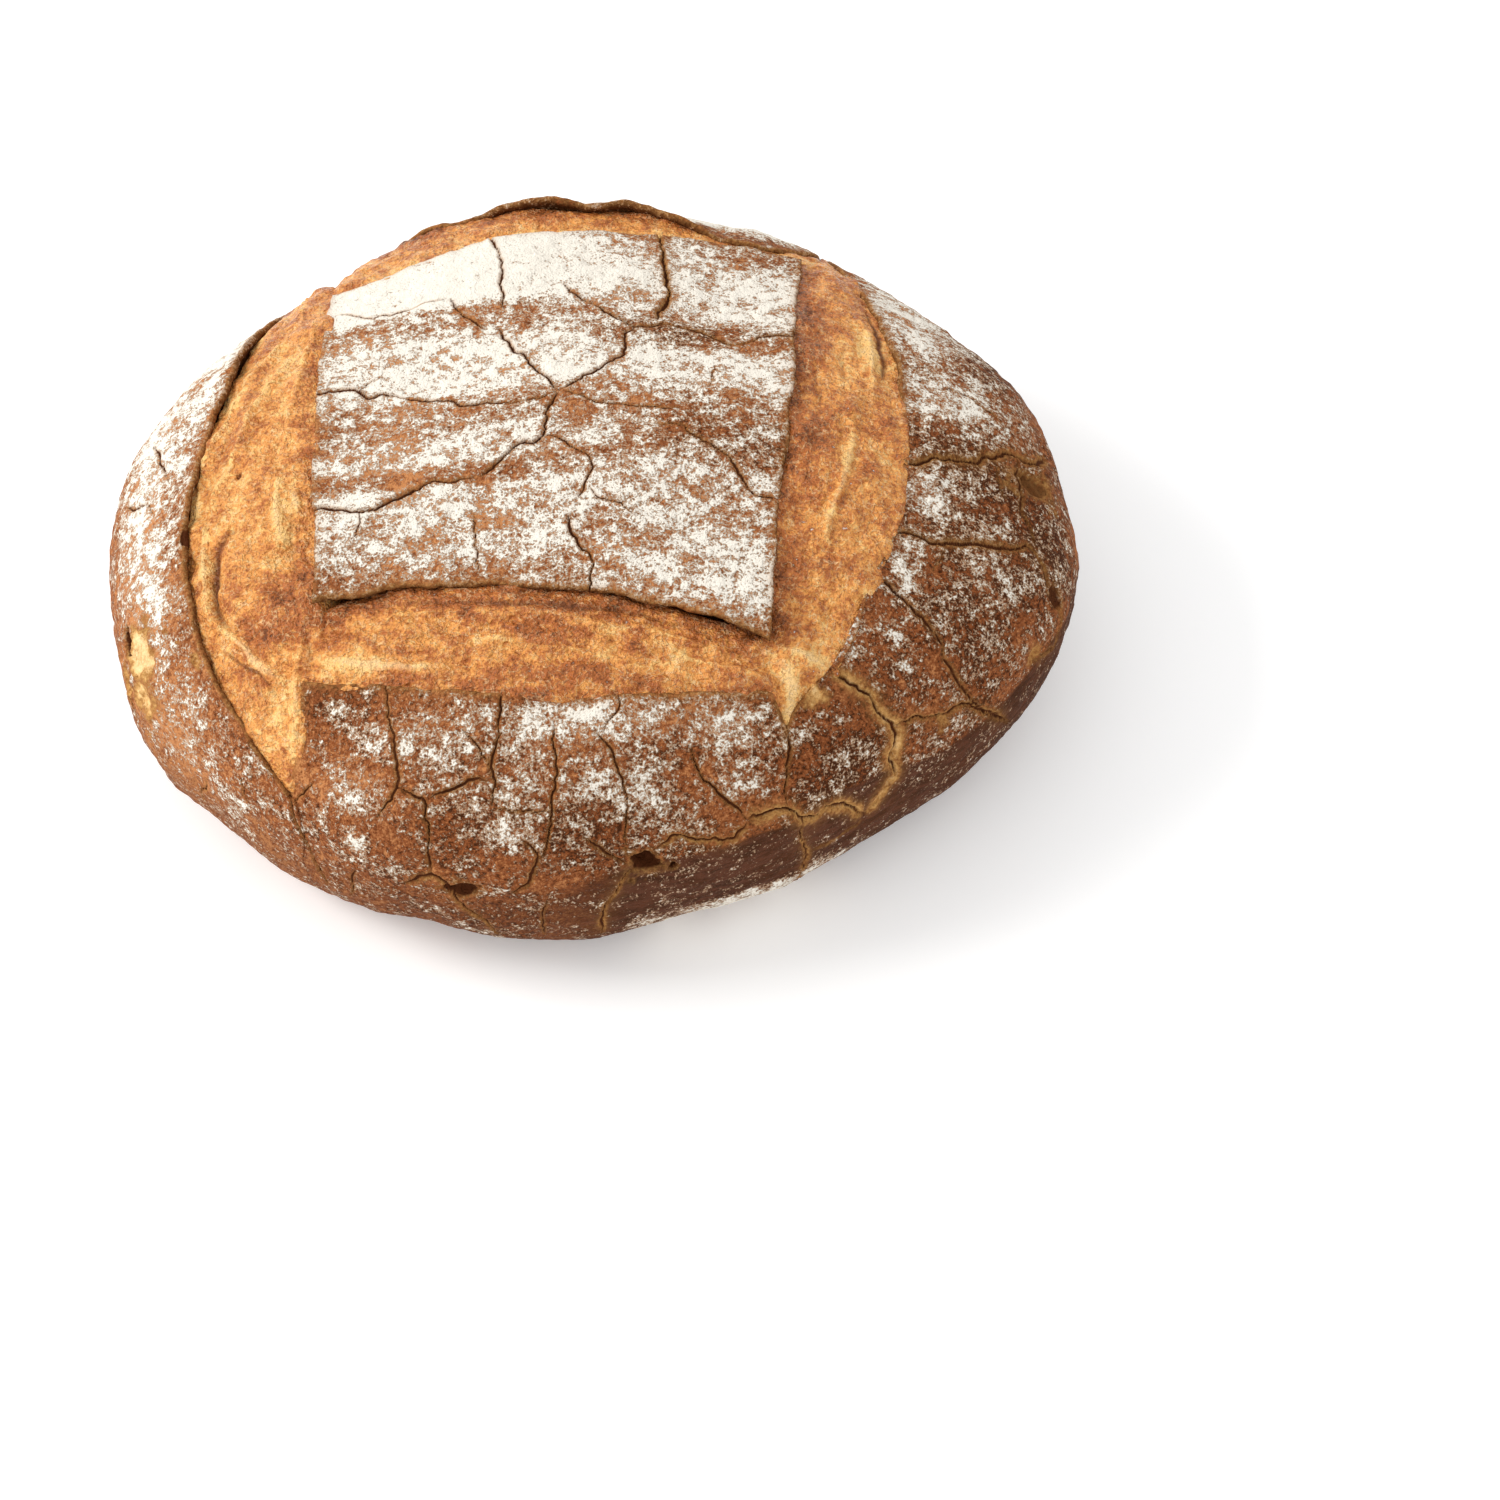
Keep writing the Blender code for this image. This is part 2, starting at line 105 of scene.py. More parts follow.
# Cracks of the crust: width and depth in mm, then points in mm of skin coordinates.
CRACKS = (
    (1.0, 1.2, ((-74, 14), (-60, 17), (-54, 14), (-48, 14), (-34, 10), (-23, 7), (-11, 8), (-3, 12))),
    (0.8, 0.9, ((-3, 12), (2, 10), (6, 8), (12, 6), (19, 5), (28, 4))),
    (1.2, 1.5, ((-38, 55), (-33, 47), (-26, 40))),
    (1.3, 1.7, ((-23, 41), (-18, 32), (-12, 24), (-7, 16), (-3, 12))),
    (1.3, 1.7, ((-3, 12), (-6, 4), (-6, -2), (-9, -7), (-13, -8), (-18, -14), (-23, -18))),
    (1.4, 1.8, ((-23, -18), (-30, -20), (-34, -19), (-40, -22), (-46, -26), (-51, -28), (-58, -26),
                (-67, -27))),
    (0.9, 1.0, ((-6, -5), (-2, -7), (3, -12), (8, -16), (6, -22), (3, -29))),
    (0.7, 0.7, ((6, -25), (11, -29), (17, -33), (21, -36))),
    (1.0, 1.1, ((20, -1), (28, -2), (30, -4), (37, -9), (42, -13), (46, -18), (51, -22), (58, -22))),
    (1.3, 1.6, ((0, -33), (2, -39), (5, -45), (7, -50), (8, -56), (8, -64))),
    (0.7, 0.8, ((-25, -29), (-24, -36), (-24, -44), (-23, -50))),
    (0.7, 0.7, ((-52, -28), (-52, -33), (-54, -37))),
    (1.3, 1.5, ((-29, 88), (-24, 74), (-22, 63), (-22, 53), (-22, 48))),
    (1.6, 1.9, ((22, 92), (24, 79), (25, 69), (27, 62), (27, 54), (24, 43))),
    (1.1, 1.3, ((-5, 59), (0, 53), (7, 47), (13, 42), (18, 39), (21, 40), (28, 41), (35, 39), (40, 35),
                (44, 33), (48, 34), (52, 37), (62, 38))),
    (1.0, 1.1, ((18, 39), (15, 35), (15, 28), (10, 22), (5, 18), (0, 13), (-3, 12))),
    (0.7, 0.7, ((38, 22), (37, 16), (35, 12))),
    (0.7, 0.7, ((-74, 56), (-63, 52), (-53, 52), (-45, 54), (-39, 55))),
    (0.7, 0.7, ((-59, 15), (-56, 19), (-53, 22))),
    (1.1, 1.4, ((-16, -86), (-18, -98), (-21, -107), (-20, -112), (-21, -119))),
    (1.0, 1.1, ((-28, -97), (-23, -105), (-21, -110))),
    (1.0, 1.1, ((-47, -80), (-46, -98), (-47, -109), (-50, -113), (-54, -117))),
    (1.4, 1.8, ((-47, -109), (-42, -113), (-39, -115), (-40, -124), (-43, -135))),
    (1.2, 1.4, ((-38, -114), (-33, -113), (-26, -111), (-21, -112))),
    (1.2, 1.5, ((-3, -98), (-3, -110), (-4, -119), (-6, -129), (-9, -135))),
    (0.9, 1.0, ((-21, -119), (-13, -121), (-5, -122))),
    (1.0, 1.2, ((9, -101), (13, -107), (17, -115), (18, -124), (18, -136))),
    (0.8, 0.8, ((16, -90), (15, -96), (11, -102))),
    (1.3, 1.6, ((36, -105), (40, -113), (48, -119), (56, -125))),
    (0.9, 0.9, ((-70, -103), (-77, -107), (-79, -108))),
    (1.1, 1.3, ((-68, -131), (-74, -137), (-80, -143))),
    (1.3, 1.6, ((-80, -103), (-79, -107), (-82, -115), (-84, -127), (-88, -138))),
    (1.2, 1.5, ((65, -96), (66, -103), (66, -109), (68, -119))),
    (0.9, 1.0, ((-94, -96), (-96, -101), (-99, -106))),
    (0.8, 0.9, ((-112, -93), (-118, -95), (-124, -96), (-133, -99))),
    (1.5, 1.7, ((128, -30), (137, -32), (139, -40), (135, -49))),
    (1.6, 1.6, ((19, -142), (14, -151), (10, -160), (9, -174))),
    (1.4, 1.4, ((4, -130), (11, -136), (18, -141))),
    (1.5, 1.5, ((-54, -138), (-44, -136), (-40, -139), (-38, -150), (-33, -160), (-32, -172))),
    (1.6, 1.4, ((28, -136), (34, -132), (42, -133), (52, -131), (56, -125))),
    (1.2, 1.1, ((-9, -150), (-12, -160), (-14, -172))),
    (1.4, 1.3, ((-14, -128), (-10, -134), (-14, -142), (-20, -146))),
    (1.3, 1.2, ((86, -134), (96, -128), (104, -119))),
    (1.6, 2.0, ((83, -4), (88, -4), (92, 0), (98, 1), (103, 2), (107, 5), (113, 9), (118, 10), (123, 12),
                (129, 19))),
    (1.5, 1.8, ((83, -27), (91, -27), (97, -27), (102, -26), (106, -24), (111, -23), (117, -21),
                (121, -19), (126, -25), (128, -29))),
    (0.9, 0.9, ((98, -28), (97, -32), (96, -37))),
    (1.3, 1.6, ((82, -42), (88, -47), (93, -50), (98, -54), (103, -58), (106, -63), (114, -67), (121, -70),
                (131, -70), (147, -65))),
    (1.1, 1.2, ((109, 3), (111, -5), (113, -6))),
    (0.8, 0.8, ((94, 24), (99, 25), (103, 25), (107, 22), (112, 18))),
    (1.2, 1.4, ((116, 8), (117, -6), (120, -12), (124, -19))),
    (1.9, 2.4, ((56, -125), (60, -123), (65, -121), (70, -121), (75, -122), (81, -121), (84, -118),
                (94, -116), (103, -117))),
    (1.6, 1.6, ((75, -122), (78, -129), (84, -135), (92, -146), (100, -152))),
    (2.2, 2.8, ((76, -76), (84, -79), (88, -80), (93, -85), (98, -87), (101, -92), (102, -97), (107, -101),
                (105, -110), (103, -117))),
    (1.6, 2.0, ((98, -86), (103, -82), (110, -79), (117, -72), (121, -71), (129, -70), (142, -66))),
    (1.0, 1.0, ((-119, 15), (-112, 4), (-108, -4))),
    (0.9, 1.0, ((-128, -2), (-116, -8), (-111, -13))),
)

# Strands and creases of the risen crumb: width in mm, rise (creases are below 0), paleness, points.
# A crease is darkened with painted shade by its depth.
STRANDS = (
    (2.2, -1.5, 0.0, ((-82, -27), (-87, -28), (-90, -33), (-91, -44), (-90, -51), (-86, -57))),
    (2.6, 1.2, 0.8, ((-92, -18), (-94, -31), (-93, -42), (-92, -50), (-89, -57))),
    (3.4, 1.7, 1.0, ((-90, -55), (-85, -61), (-81, -67), (-74, -76))),
    (1.9, -0.8, 0.0, ((-91, -61), (-86, -66), (-80, -71), (-76, -79))),
    (1.8, -0.4, 0.0, ((-71, -8), (-70, -22), (-70, -34), (-69, -49), (-67, -62))),
    (2.6, 1.0, 0.9, ((-74, -12), (-73, -24), (-73, -36))),
    (2.8, 1.1, 1.0, ((-69, -16), (-68, -25))),
    (2.0, 0.9, 0.7, ((-97, -27), (-98, -8), (-95, 9), (-91, 30), (-86, 52))),
    (2.0, 0.9, 0.7, ((-92, -22), (-91, -10), (-88, 0), (-86, 12), (-82, 34))),
    (1.7, -0.4, 0.0, ((-95, -22), (-94, -6), (-91, 8), (-88, 26), (-84, 46))),
    (1.7, -0.3, 0.0, ((-85, -20), (-84, 0), (-81, 20), (-79, 46), (-78, 66))),
    (1.9, 0.8, 0.6, ((-79, 60), (-77, 34), (-75, 12), (-74, -4))),
    (1.8, -0.4, 0.0, ((-92, 84), (-93, 60), (-94, 34))),
    (2.0, 0.8, 0.6, ((-88, 92), (-87, 70), (-83, 54))),
    (1.8, -1.6, 0.0, ((-87, -8), (-85, -8))),
    (2.8, 1.0, 0.7, ((-68, -60), (-70, -70), (-72, -84), (-76, -98))),
    (1.8, -0.35, 0.0, ((-64, -54), (-67, -62), (-66, -70), (-69, -78))),
    (3.4, 1.1, 1.0, ((-66, -70), (-56, -74), (-44, -77), (-30, -80))),
    (2.0, -0.7, 0.0, ((-58, -58), (-42, -57), (-26, -59), (-8, -62), (8, -65), (26, -68), (46, -74))),
    (2.2, 0.9, 0.6, ((-56, -62), (-40, -61), (-24, -63), (-6, -66), (10, -70), (28, -73), (48, -79))),
    (1.8, 0.7, 0.5, ((-34, -75), (-20, -72), (-4, -76), (10, -80), (24, -84))),
    (2.1, 0.8, 0.7, ((22, -76), (38, -80), (52, -83), (60, -86))),
    (1.6, -0.25, 0.0, ((-46, -70), (-30, -72), (-12, -74), (6, -78), (24, -80), (44, -84))),
    (1.8, -0.35, 0.0, ((69, 84), (67, 56), (64, 30), (62, 4), (60, -20), (60, -44), (61, -60))),
    (1.5, -0.3, 0.0, ((74, 70), (73, 40), (69, 14), (66, -14), (64, -40))),
    (2.1, 1.0, 0.8, ((79, 52), (80, 38), (78, 26), (76, 14))),
    (1.5, -1.0, 0.1, ((82, 60), (83, 44), (82, 30), (79, 22))),
    (2.5, 1.0, 0.8, ((71, 10), (69, -10), (68, -30), (69, -44))),
    (1.8, -0.3, 0.0, ((76, 24), (73, 4), (70, -18), (69, -40), (66, -58))),
    (5.0, 0.5, 0.9, ((58, -74), (63, -80), (66, -88), (66, -97))),
    (4.0, 0.6, 0.9, ((60, -74), (68, -74), (76, -74))),
)

# Browning of the crumb: browner and paler places (p, q, half sizes in mm, how much darker); the thin
# strips along the plate's edges are partly painted shade beside the plate.
CRUMB_PLACES = (
    (-78, -60, 8, 6, 0.50), (-73, -49, 4, 4, 0.36), (-66, -34, 3, 26, 0.22), (-84, -40, 6, 8, -0.12),
    (-72, -26, 5, 9, -0.24), (-92, -38, 3, 14, -0.24), (-82, 28, 7, 16, -0.14), (-89, -4, 5, 14, 0.18),
    (-74, -88, 5, 14, -0.16), (-58, -74, 11, 3, -0.28), (62, -82, 7, 9, -0.36), (70, -74, 9, 4, -0.36),
    (75, -20, 4, 30, -0.14), (80, 40, 4, 14, -0.20), (66, 34, 4, 34, 0.16), (10, -64, 40, 3, 0.16),
    (20, -76, 30, 4, -0.12), (-20, -70, 22, 4, 0.14), (70, 90, 8, 12, -0.16), (-86, 76, 9, 16, 0.10),
)

# Torn hollows: place, half sizes and depth in mm, how dark the hollow is with painted shade, and how golden.
TEARS = (
    (24.0, -140.5, 4.6, 3.4, 5.0, 1.0, 0.7),
    (-36.0, -143.0, 4.5, 3.5, 2.6, 0.8, 0.5),
    (121.0, 2.0, 5.0, 3.0, 2.6, 0.5, 0.8),
    (133.0, -30.0, 3.0, 2.5, 1.8, 0.6, 0.4),
    (133.0, -47.0, 3.0, 2.5, 1.6, 0.0, 0.9),
    (-124.0, -46.0, 1.8, 3.4, 2.6, 0.8, 0.5),
    (-118.0, -53.0, 4.8, 6.4, 1.4, 0.0, 1.7),
    (-122.5, -64.0, 3.8, 5.0, 1.4, 0.0, 1.4),
    (-131.0, -56.0, 3.0, 3.6, 3.2, 0.0, 1.4),
    (-134.0, -63.0, 1.8, 2.6, 2.2, 0.9, 0.4),
    (-99.0, -26.0, 0.9, 1.7, 1.4, 0.7, 0.4),
    (-98.0, -62.0, 1.1, 1.5, 1.4, 0.0, 1.3),
    (72.0, -85.0, 2.0, 1.6, 0.4, 0.0, 1.2),
    (80.0, -78.0, 2.0, 1.0, 0.6, 0.0, 1.2),
    (103.0, -96.0, 1.6, 2.2, 0.8, 0.0, 1.1),
    (113.0, -79.0, 2.8, 1.4, 0.8, 0.0, 0.9),
)

# Rise of the ear behind the plate, from right to left along its edge, as a share of its full height.
EAR_RISE = ((0.0, 0.05), (0.22, 0.08), (0.30, 0.60), (0.36, 0.86), (0.42, 0.84), (0.50, 0.60), (0.56, 0.92),
            (0.61, 1.0), (0.67, 0.84), (0.73, 0.60), (0.80, 0.64), (0.87, 0.42), (0.93, 0.20), (1.0, 0.10))

# Flour: bands across the plate on its left and right (q in mm, density), and patches elsewhere
# (p, q, half size along p, along q in mm, density), over a thin dusting.
BANDS_LEFT = ((-60, 0.38), (-50, 0.42), (-44, 0.55), (-34, 0.58), (-27, 0.70), (-20, 0.68), (-17, 0.36),
              (-13, 0.36), (-10, 0.72), (-2, 0.66), (1, 0.48), (9, 0.46), (13, 0.52), (16, 0.78),
              (34, 0.78), (39, 0.54), (50, 0.48), (54, 0.98), (64, 1.10), (80, 1.10))
BANDS_RIGHT = ((-70, 0.46), (-50, 0.60), (-30, 0.58), (-16, 0.62), (-12, 0.46), (-9, 0.42), (3, 0.42),
               (7, 0.44), (13, 0.54), (17, 0.72), (28, 0.76), (32, 0.44), (43, 0.40), (48, 0.72),
               (62, 0.78), (74, 0.66), (80, 0.46), (90, 0.40))
PATCHES = (
    (-112, 62, 26, 36, 0.92), (-117, 10, 13, 44, 0.80), (-110, -36, 9, 22, 0.68), (-104, 40, 9, 60, 0.66),
    (-104, -72, 8, 14, 0.44),
    (8, -98, 32, 8, 0.60), (-30, -96, 24, 7, 0.46), (45, -98, 20, 9, 0.54), (10, -114, 30, 11, 0.46),
    (-60, -106, 10, 8, 0.46), (-62, -122, 3.5, 3, 0.70), (-16, -126, 10, 6, 0.46), (50, -112, 14, 8, 0.42),
    (94, 62, 14, 34, 0.78), (98, 22, 16, 14, 0.68), (92, -12, 10, 12, 0.56), (92, -36, 9, 18, 0.50),
    (92, -58, 8, 8, 0.36), (112, 20, 14, 18, 0.50), (0, 135, 90, 28, 0.96), (52, 110, 26, 10, 1.10),
    (100, -30, 26, 40, 0.32), (0, -112, 56, 22, 0.38), (-114, -74, 34, 44, 0.32), (-88, -124, 40, 24, 0.16),
)

DUSTING = 0.18

# Reach of the plate's bands to either side, to the front and to the back, in mm, and where the left
# bands turn into the right ones, over what width.
PLATE_REACH = (82.0, 74.0, 94.0)
BLEND_FROM = -14.0
BLEND_WIDTH = 34.0

# Dusting of the front of the foot: how far from the top it starts, in mm, and its density.
FOOT_DUST_FROM = 166.0
FOOT_DUST = 0.62

# Bake: the usual level, and darker places of the crust (p, q, half sizes in mm, how much darker).
# The darker places on the right side and the low front are partly painted shade, where the light
# from the left falls less; the rest is baking.
USUAL_BAKE = 0.44
DARK_PLACES = (
    (118, -10, 30, 60, 0.22), (85, -105, 16, 18, 0.30), (40, -150, 60, 30, 0.14), (-20, -118, 46, 22, 0.12),
    (-60, -80, 14, 8, 0.20), (-60, -50, 14, 10, 0.24), (45, -4, 26, 8, 0.24), (30, 38, 24, 6, 0.20),
    (-120, -70, 34, 44, -0.20), (-100, -120, 34, 26, -0.16), (96, -40, 10, 30, 0.20),
    (106, -56, 22, 22, 0.04), (0, -124, 70, 16, 0.04), (-104, 0, 4, 60, 0.16),
    (100, 60, 20, 30, 0.10), (-40, 20, 34, 60, -0.14), (-112, 0, 18, 70, -0.16), (-56, -116, 26, 16, -0.10),
)

# Smooth low side: how far from the top it starts, and the size and wave of its wavering edge, in mm.
SIDE_FROM = 144.0
SIDE_WAVER = 5.0
SIDE_WAVE = 34.0

# The relief of the crust fades out before this distance from the top, over so much, in metres.
RELIEF_END = 0.2025
RELIEF_FADE = 0.030

# Cracks: how far one is felt, its half width as a share of its width and its least one, in mm; the
# width from which its flanks turn golden, and over how much more they do.
CRACK_REACH = 5.0
CRACK_HALF = 0.29
CRACK_LEAST = 0.18
GOLD_FROM = 1.4
GOLD_RANGE = 0.6

# Risen crumb: width of a slash that swells fully, how near its ends it dives, the share of its width
# over which it climbs an ear, and the depth and width of the strip hidden under the crust, in mm.
FULL_WIDTH = 26.0
DIVE_FROM = 12.0
EAR_SHARE = 0.62
HIDDEN_DEPTH = 5.0
HIDDEN_WIDTH = 4.0

# Body: how deep it lies under the base form, and the height of its underside. Base crust: how deep it
# lies, and the stretch over which it comes up to the foot. All in mm.
BODY_DROP = 7.5
BODY_BOTTOM = 6.0
BASE_DROP = 4.0
BASE_FADE = 12.0

# Rows of a rim wall: how far out and how far down in mm, on an open edge and on a hidden one.
WALL_ROWS = (
    ((0.45, 0.35), (0.05, 0.4)),
    ((0.75, 0.95), (0.08, 1.0)),
    ((0.60, 1.70), (0.05, 1.8)),
    ((-0.20, 2.50), (0.0, 2.8)),
    ((-1.60, 3.40), (-0.2, 4.2)),
    ((-2.80, 5.60), (-0.6, 6.5)),
    ((-4.00, 9.50), (-1.2, 9.5)),
)

# Rows and columns of a sheet that are its four edges.
EDGES = {"low": np.s_[:1], "high": np.s_[-1:], "start": np.s_[:, :1], "end": np.s_[:, -1:]}


def loaf_settings():
    """Settings of the loaf in the current scene."""
    return bpy.context.scene.loaf_settings


def stage_settings():
    """Settings of the stage in the current scene."""
    return bpy.context.scene.loaf_stage


class Lattice:
    """Smooth noise between -1 and 1: random values on a lattice, blended by smooth steps.

    A smooth step is three times the square of the share less twice its cube.
    """

    SIZE = 32

    def __init__(self, seed):
        self.values = np.random.default_rng(seed).uniform(-1.0, 1.0, (self.SIZE,) * 3)

    def at(self, points, wave):
        """Noise at points (..., 3) for a lattice spacing in the points' unit."""
        place = points / wave
        low = np.floor(place).astype(np.int64)
        part = place - low
        part = part * part * (3.0 - 2.0 * part)
        low %= self.SIZE
        high = (low + 1) % self.SIZE
        total = 0.0
        for x, weight_x in ((low[..., 0], 1.0 - part[..., 0]), (high[..., 0], part[..., 0])):
            for y, weight_y in ((low[..., 1], 1.0 - part[..., 1]), (high[..., 1], part[..., 1])):
                for z, weight_z in ((low[..., 2], 1.0 - part[..., 2]), (high[..., 2], part[..., 2])):
                    total = total + self.values[x, y, z] * weight_x * weight_y * weight_z
        return total

    def octaves(self, points, wave, count, gain=0.5):
        """Sum of noises, each at half the spacing of the one before and gain times its size."""
        total = 0.0
        size = 1.0
        for step in range(count):
            total = total + size * self.at(points + 3.7 * step * wave, wave / 2.0 ** step)
            size *= gain
        return total


NOISE = Lattice(7)
NOISE_GAIN = 3.4


class Form:
    """Base form of the loaf from the settings: skin coordinates to points and normals.

    Seen from above it is an oval with plan waves. Its profile is a superellipse over the waist, a
    quarter ellipse under it and a flat base, and the distance from the top is measured along it.
    """

    def __init__(self, sizes):
        self.half_length = sizes.half_length
        self.half_width = sizes.half_width
        self.height = sizes.height
        self.waist = sizes.waist_height
        turn = np.linspace(0.0, math.pi / 2.0, 500)
        foot = 1.0 - sizes.foot_tuck / MEAN_RADIUS
        flat = np.linspace(foot, 0.0, 120)[1:]
        self.share = np.concatenate([
            np.sin(turn) ** (2.0 / DOME_POWER),
            (1.0 - (1.0 - foot) * (1.0 - np.cos(turn)))[1:],
            flat,
        ])
        self.level = np.concatenate([
            self.waist + (self.height - self.waist) * np.cos(turn) ** (2.0 / DOME_POWER),
            (self.waist * (1.0 - np.sin(turn)))[1:],
            np.zeros_like(flat),
        ])
        step = np.hypot(np.diff(self.share * MEAN_RADIUS), np.diff(self.level))
        self.arc = np.concatenate([[0.0], np.cumsum(step)])
        self.waist_arc = self.arc[len(turn) - 1]
        self.foot_arc = self.arc[2 * len(turn) - 2]

    def skin(self, p, q):
        """Points of the base form at skin coordinates in metres.

        The radius is the profile's share at that distance from the top, times the oval's radius and
        the plan waves at that angle; the crown is shifted along x with its height over the waist.
        """
        reach = np.hypot(p, q)
        angle = np.arctan2(q, p)
        oval = 1.0 / np.sqrt((np.cos(angle) / self.half_length) ** 2
                             + (np.sin(angle) / self.half_width) ** 2)
        wave = 1.0
        for count, cosine, sine in PLAN_WAVES:
            wave = wave + cosine * np.cos(count * angle) + sine * np.sin(count * angle)
        radius = np.interp(reach, self.arc, self.share) * oval * wave
        height = np.interp(reach, self.arc, self.level)
        crown = np.clip((height - self.waist) / (self.height - self.waist), 0.0, 1.0)
        return np.stack([
            radius * np.cos(angle) + CROWN_SHIFT * crown - PLAN_MIDDLE[0],
            radius * np.sin(angle) - PLAN_MIDDLE[1],
            height,
        ], axis=-1)

    def normal(self, p, q):
        """Outward unit normals, from differences a millimetre either way."""
        step = 0.001
        along_p = self.skin(p + step, q) - self.skin(p - step, q)
        along_q = self.skin(p, q + step) - self.skin(p, q - step)
        normal = np.cross(along_p, along_q)
        return normal / np.maximum(np.linalg.norm(normal, axis=-1, keepdims=True), 1e-12)

    def lifted(self, flat, lift):
        """Points over skin coordinates flat (..., 2), raised by lift along the normal."""
        p = flat[..., 0]
        q = flat[..., 1]
        points = self.skin(p, q) + self.normal(p, q) * lift[..., None]
        points[..., 2] = np.maximum(points[..., 2], 0.0)
        return points


def resample(path, count):
    """count points spaced evenly by length along a run of points."""
    length = np.concatenate([[0.0], np.cumsum(np.hypot(*np.diff(path, axis=0).T))])
    even = np.linspace(0.0, length[-1], count)
    return np.stack([np.interp(even, length, path[:, k]) for k in range(2)], axis=-1)


def smooth_path(points_mm, count):
    """Catmull-Rom curve through points in mm, as count evenly spaced points in metres."""
    points = np.array(points_mm, dtype=float) * MM
    padded = np.concatenate([2 * points[:1] - points[1:2], points, 2 * points[-1:] - points[-2:-1]])
    share = np.linspace(0.0, 1.0, 16, endpoint=False)[:, None]
    runs = []
    for k in range(len(points) - 1):
        a, b, c, d = padded[k:k + 4]
        runs.append(0.5 * (2 * b + (c - a) * share + (2 * a - 5 * b + 4 * c - d) * share ** 2
                           + (3 * b - a - 3 * c + d) * share ** 3))
    return resample(np.concatenate(runs + [points[-1:]]), count)


def ragged(path, seed, size, wave):
    """The path with its inner points pushed sideways by noise; its ends stay."""
    length = np.concatenate([[0.0], np.cumsum(np.hypot(*np.diff(path, axis=0).T))])
    along = np.gradient(path, axis=0)
    along /= np.hypot(along[:, 0], along[:, 1])[:, None]
    side = np.stack([along[:, 1], -along[:, 0]], axis=-1)
    place = np.stack([length, np.full_like(length, seed * 0.613), np.full_like(length, 0.31)], axis=-1)
    push = NOISE.octaves(place, wave, 4, 0.55) * size
    ends = np.clip(np.minimum(length, length[-1] - length) / (4.0 * size), 0.0, 1.0)
    return path + side * (push * ends)[:, None]


def coons(low, high, start, end):
    """Sheet between four boundary curves: the two ruled sheets less the one through the corners."""
    u = np.linspace(0.0, 1.0, len(low))[None, :, None]
    v = np.linspace(0.0, 1.0, len(start))[:, None, None]
    ruled = low[None] * (1.0 - v) + high[None] * v + start[:, None] * (1.0 - u) + end[:, None] * u
    corners = ((low[0] * (1.0 - u) + low[-1] * u) * (1.0 - v)
               + (high[0] * (1.0 - u) + high[-1] * u) * v)
    return ruled - corners


def loop_of(sheet):
    """Values of a sheet round its rim, counter-clockwise, each rim point once."""
    return np.concatenate([sheet[0, :-1], sheet[:-1, -1], sheet[-1, :0:-1], sheet[:0:-1, 0]])


def nearest(points, path):
    """Distance from each point to the nearest point of the path, and that point's number."""
    distance = np.empty(len(points))
    number = np.empty(len(points), dtype=np.int64)
    for start in range(0, len(points), 20000):
        part = points[start:start + 20000]
        square = ((part[:, None] - path[None]) ** 2).sum(-1)
        number[start:start + 20000] = square.argmin(1)
        distance[start:start + 20000] = np.sqrt(square.min(1))
    return distance, number


def along_curve(points, knots, spacing, rough, reach, phase, wave, octaves):
    """Which points lie near a ragged curve, how far from it, and how far along it.

    The curve runs through knots in mm; rough holds a seed, size and wave in mm for each roughening.
    Returned are the near points' mask, their distances, their shares of the way along, the curve's
    length in mm and a swell, which is 1 plus half a noise that runs along the curve.
    """
    length = np.hypot(*np.diff(np.array(knots, dtype=float), axis=0).T).sum()
    path = smooth_path(knots, int(length / spacing) + 4)
    for seed, size, stretch in rough:
        path = ragged(path, seed, size * MM, stretch * MM)
    near = np.all((points > path.min(0) - reach) & (points < path.max(0) + reach), axis=1)
    distance, number = nearest(points[near], path)
    share = number / (len(path) - 1.0)
    place = np.stack([share * length * MM, np.full_like(share, phase), share * 0.0], axis=-1)
    return near, distance, share, length, 1.0 + 0.5 * NOISE.octaves(place, wave * MM, octaves)


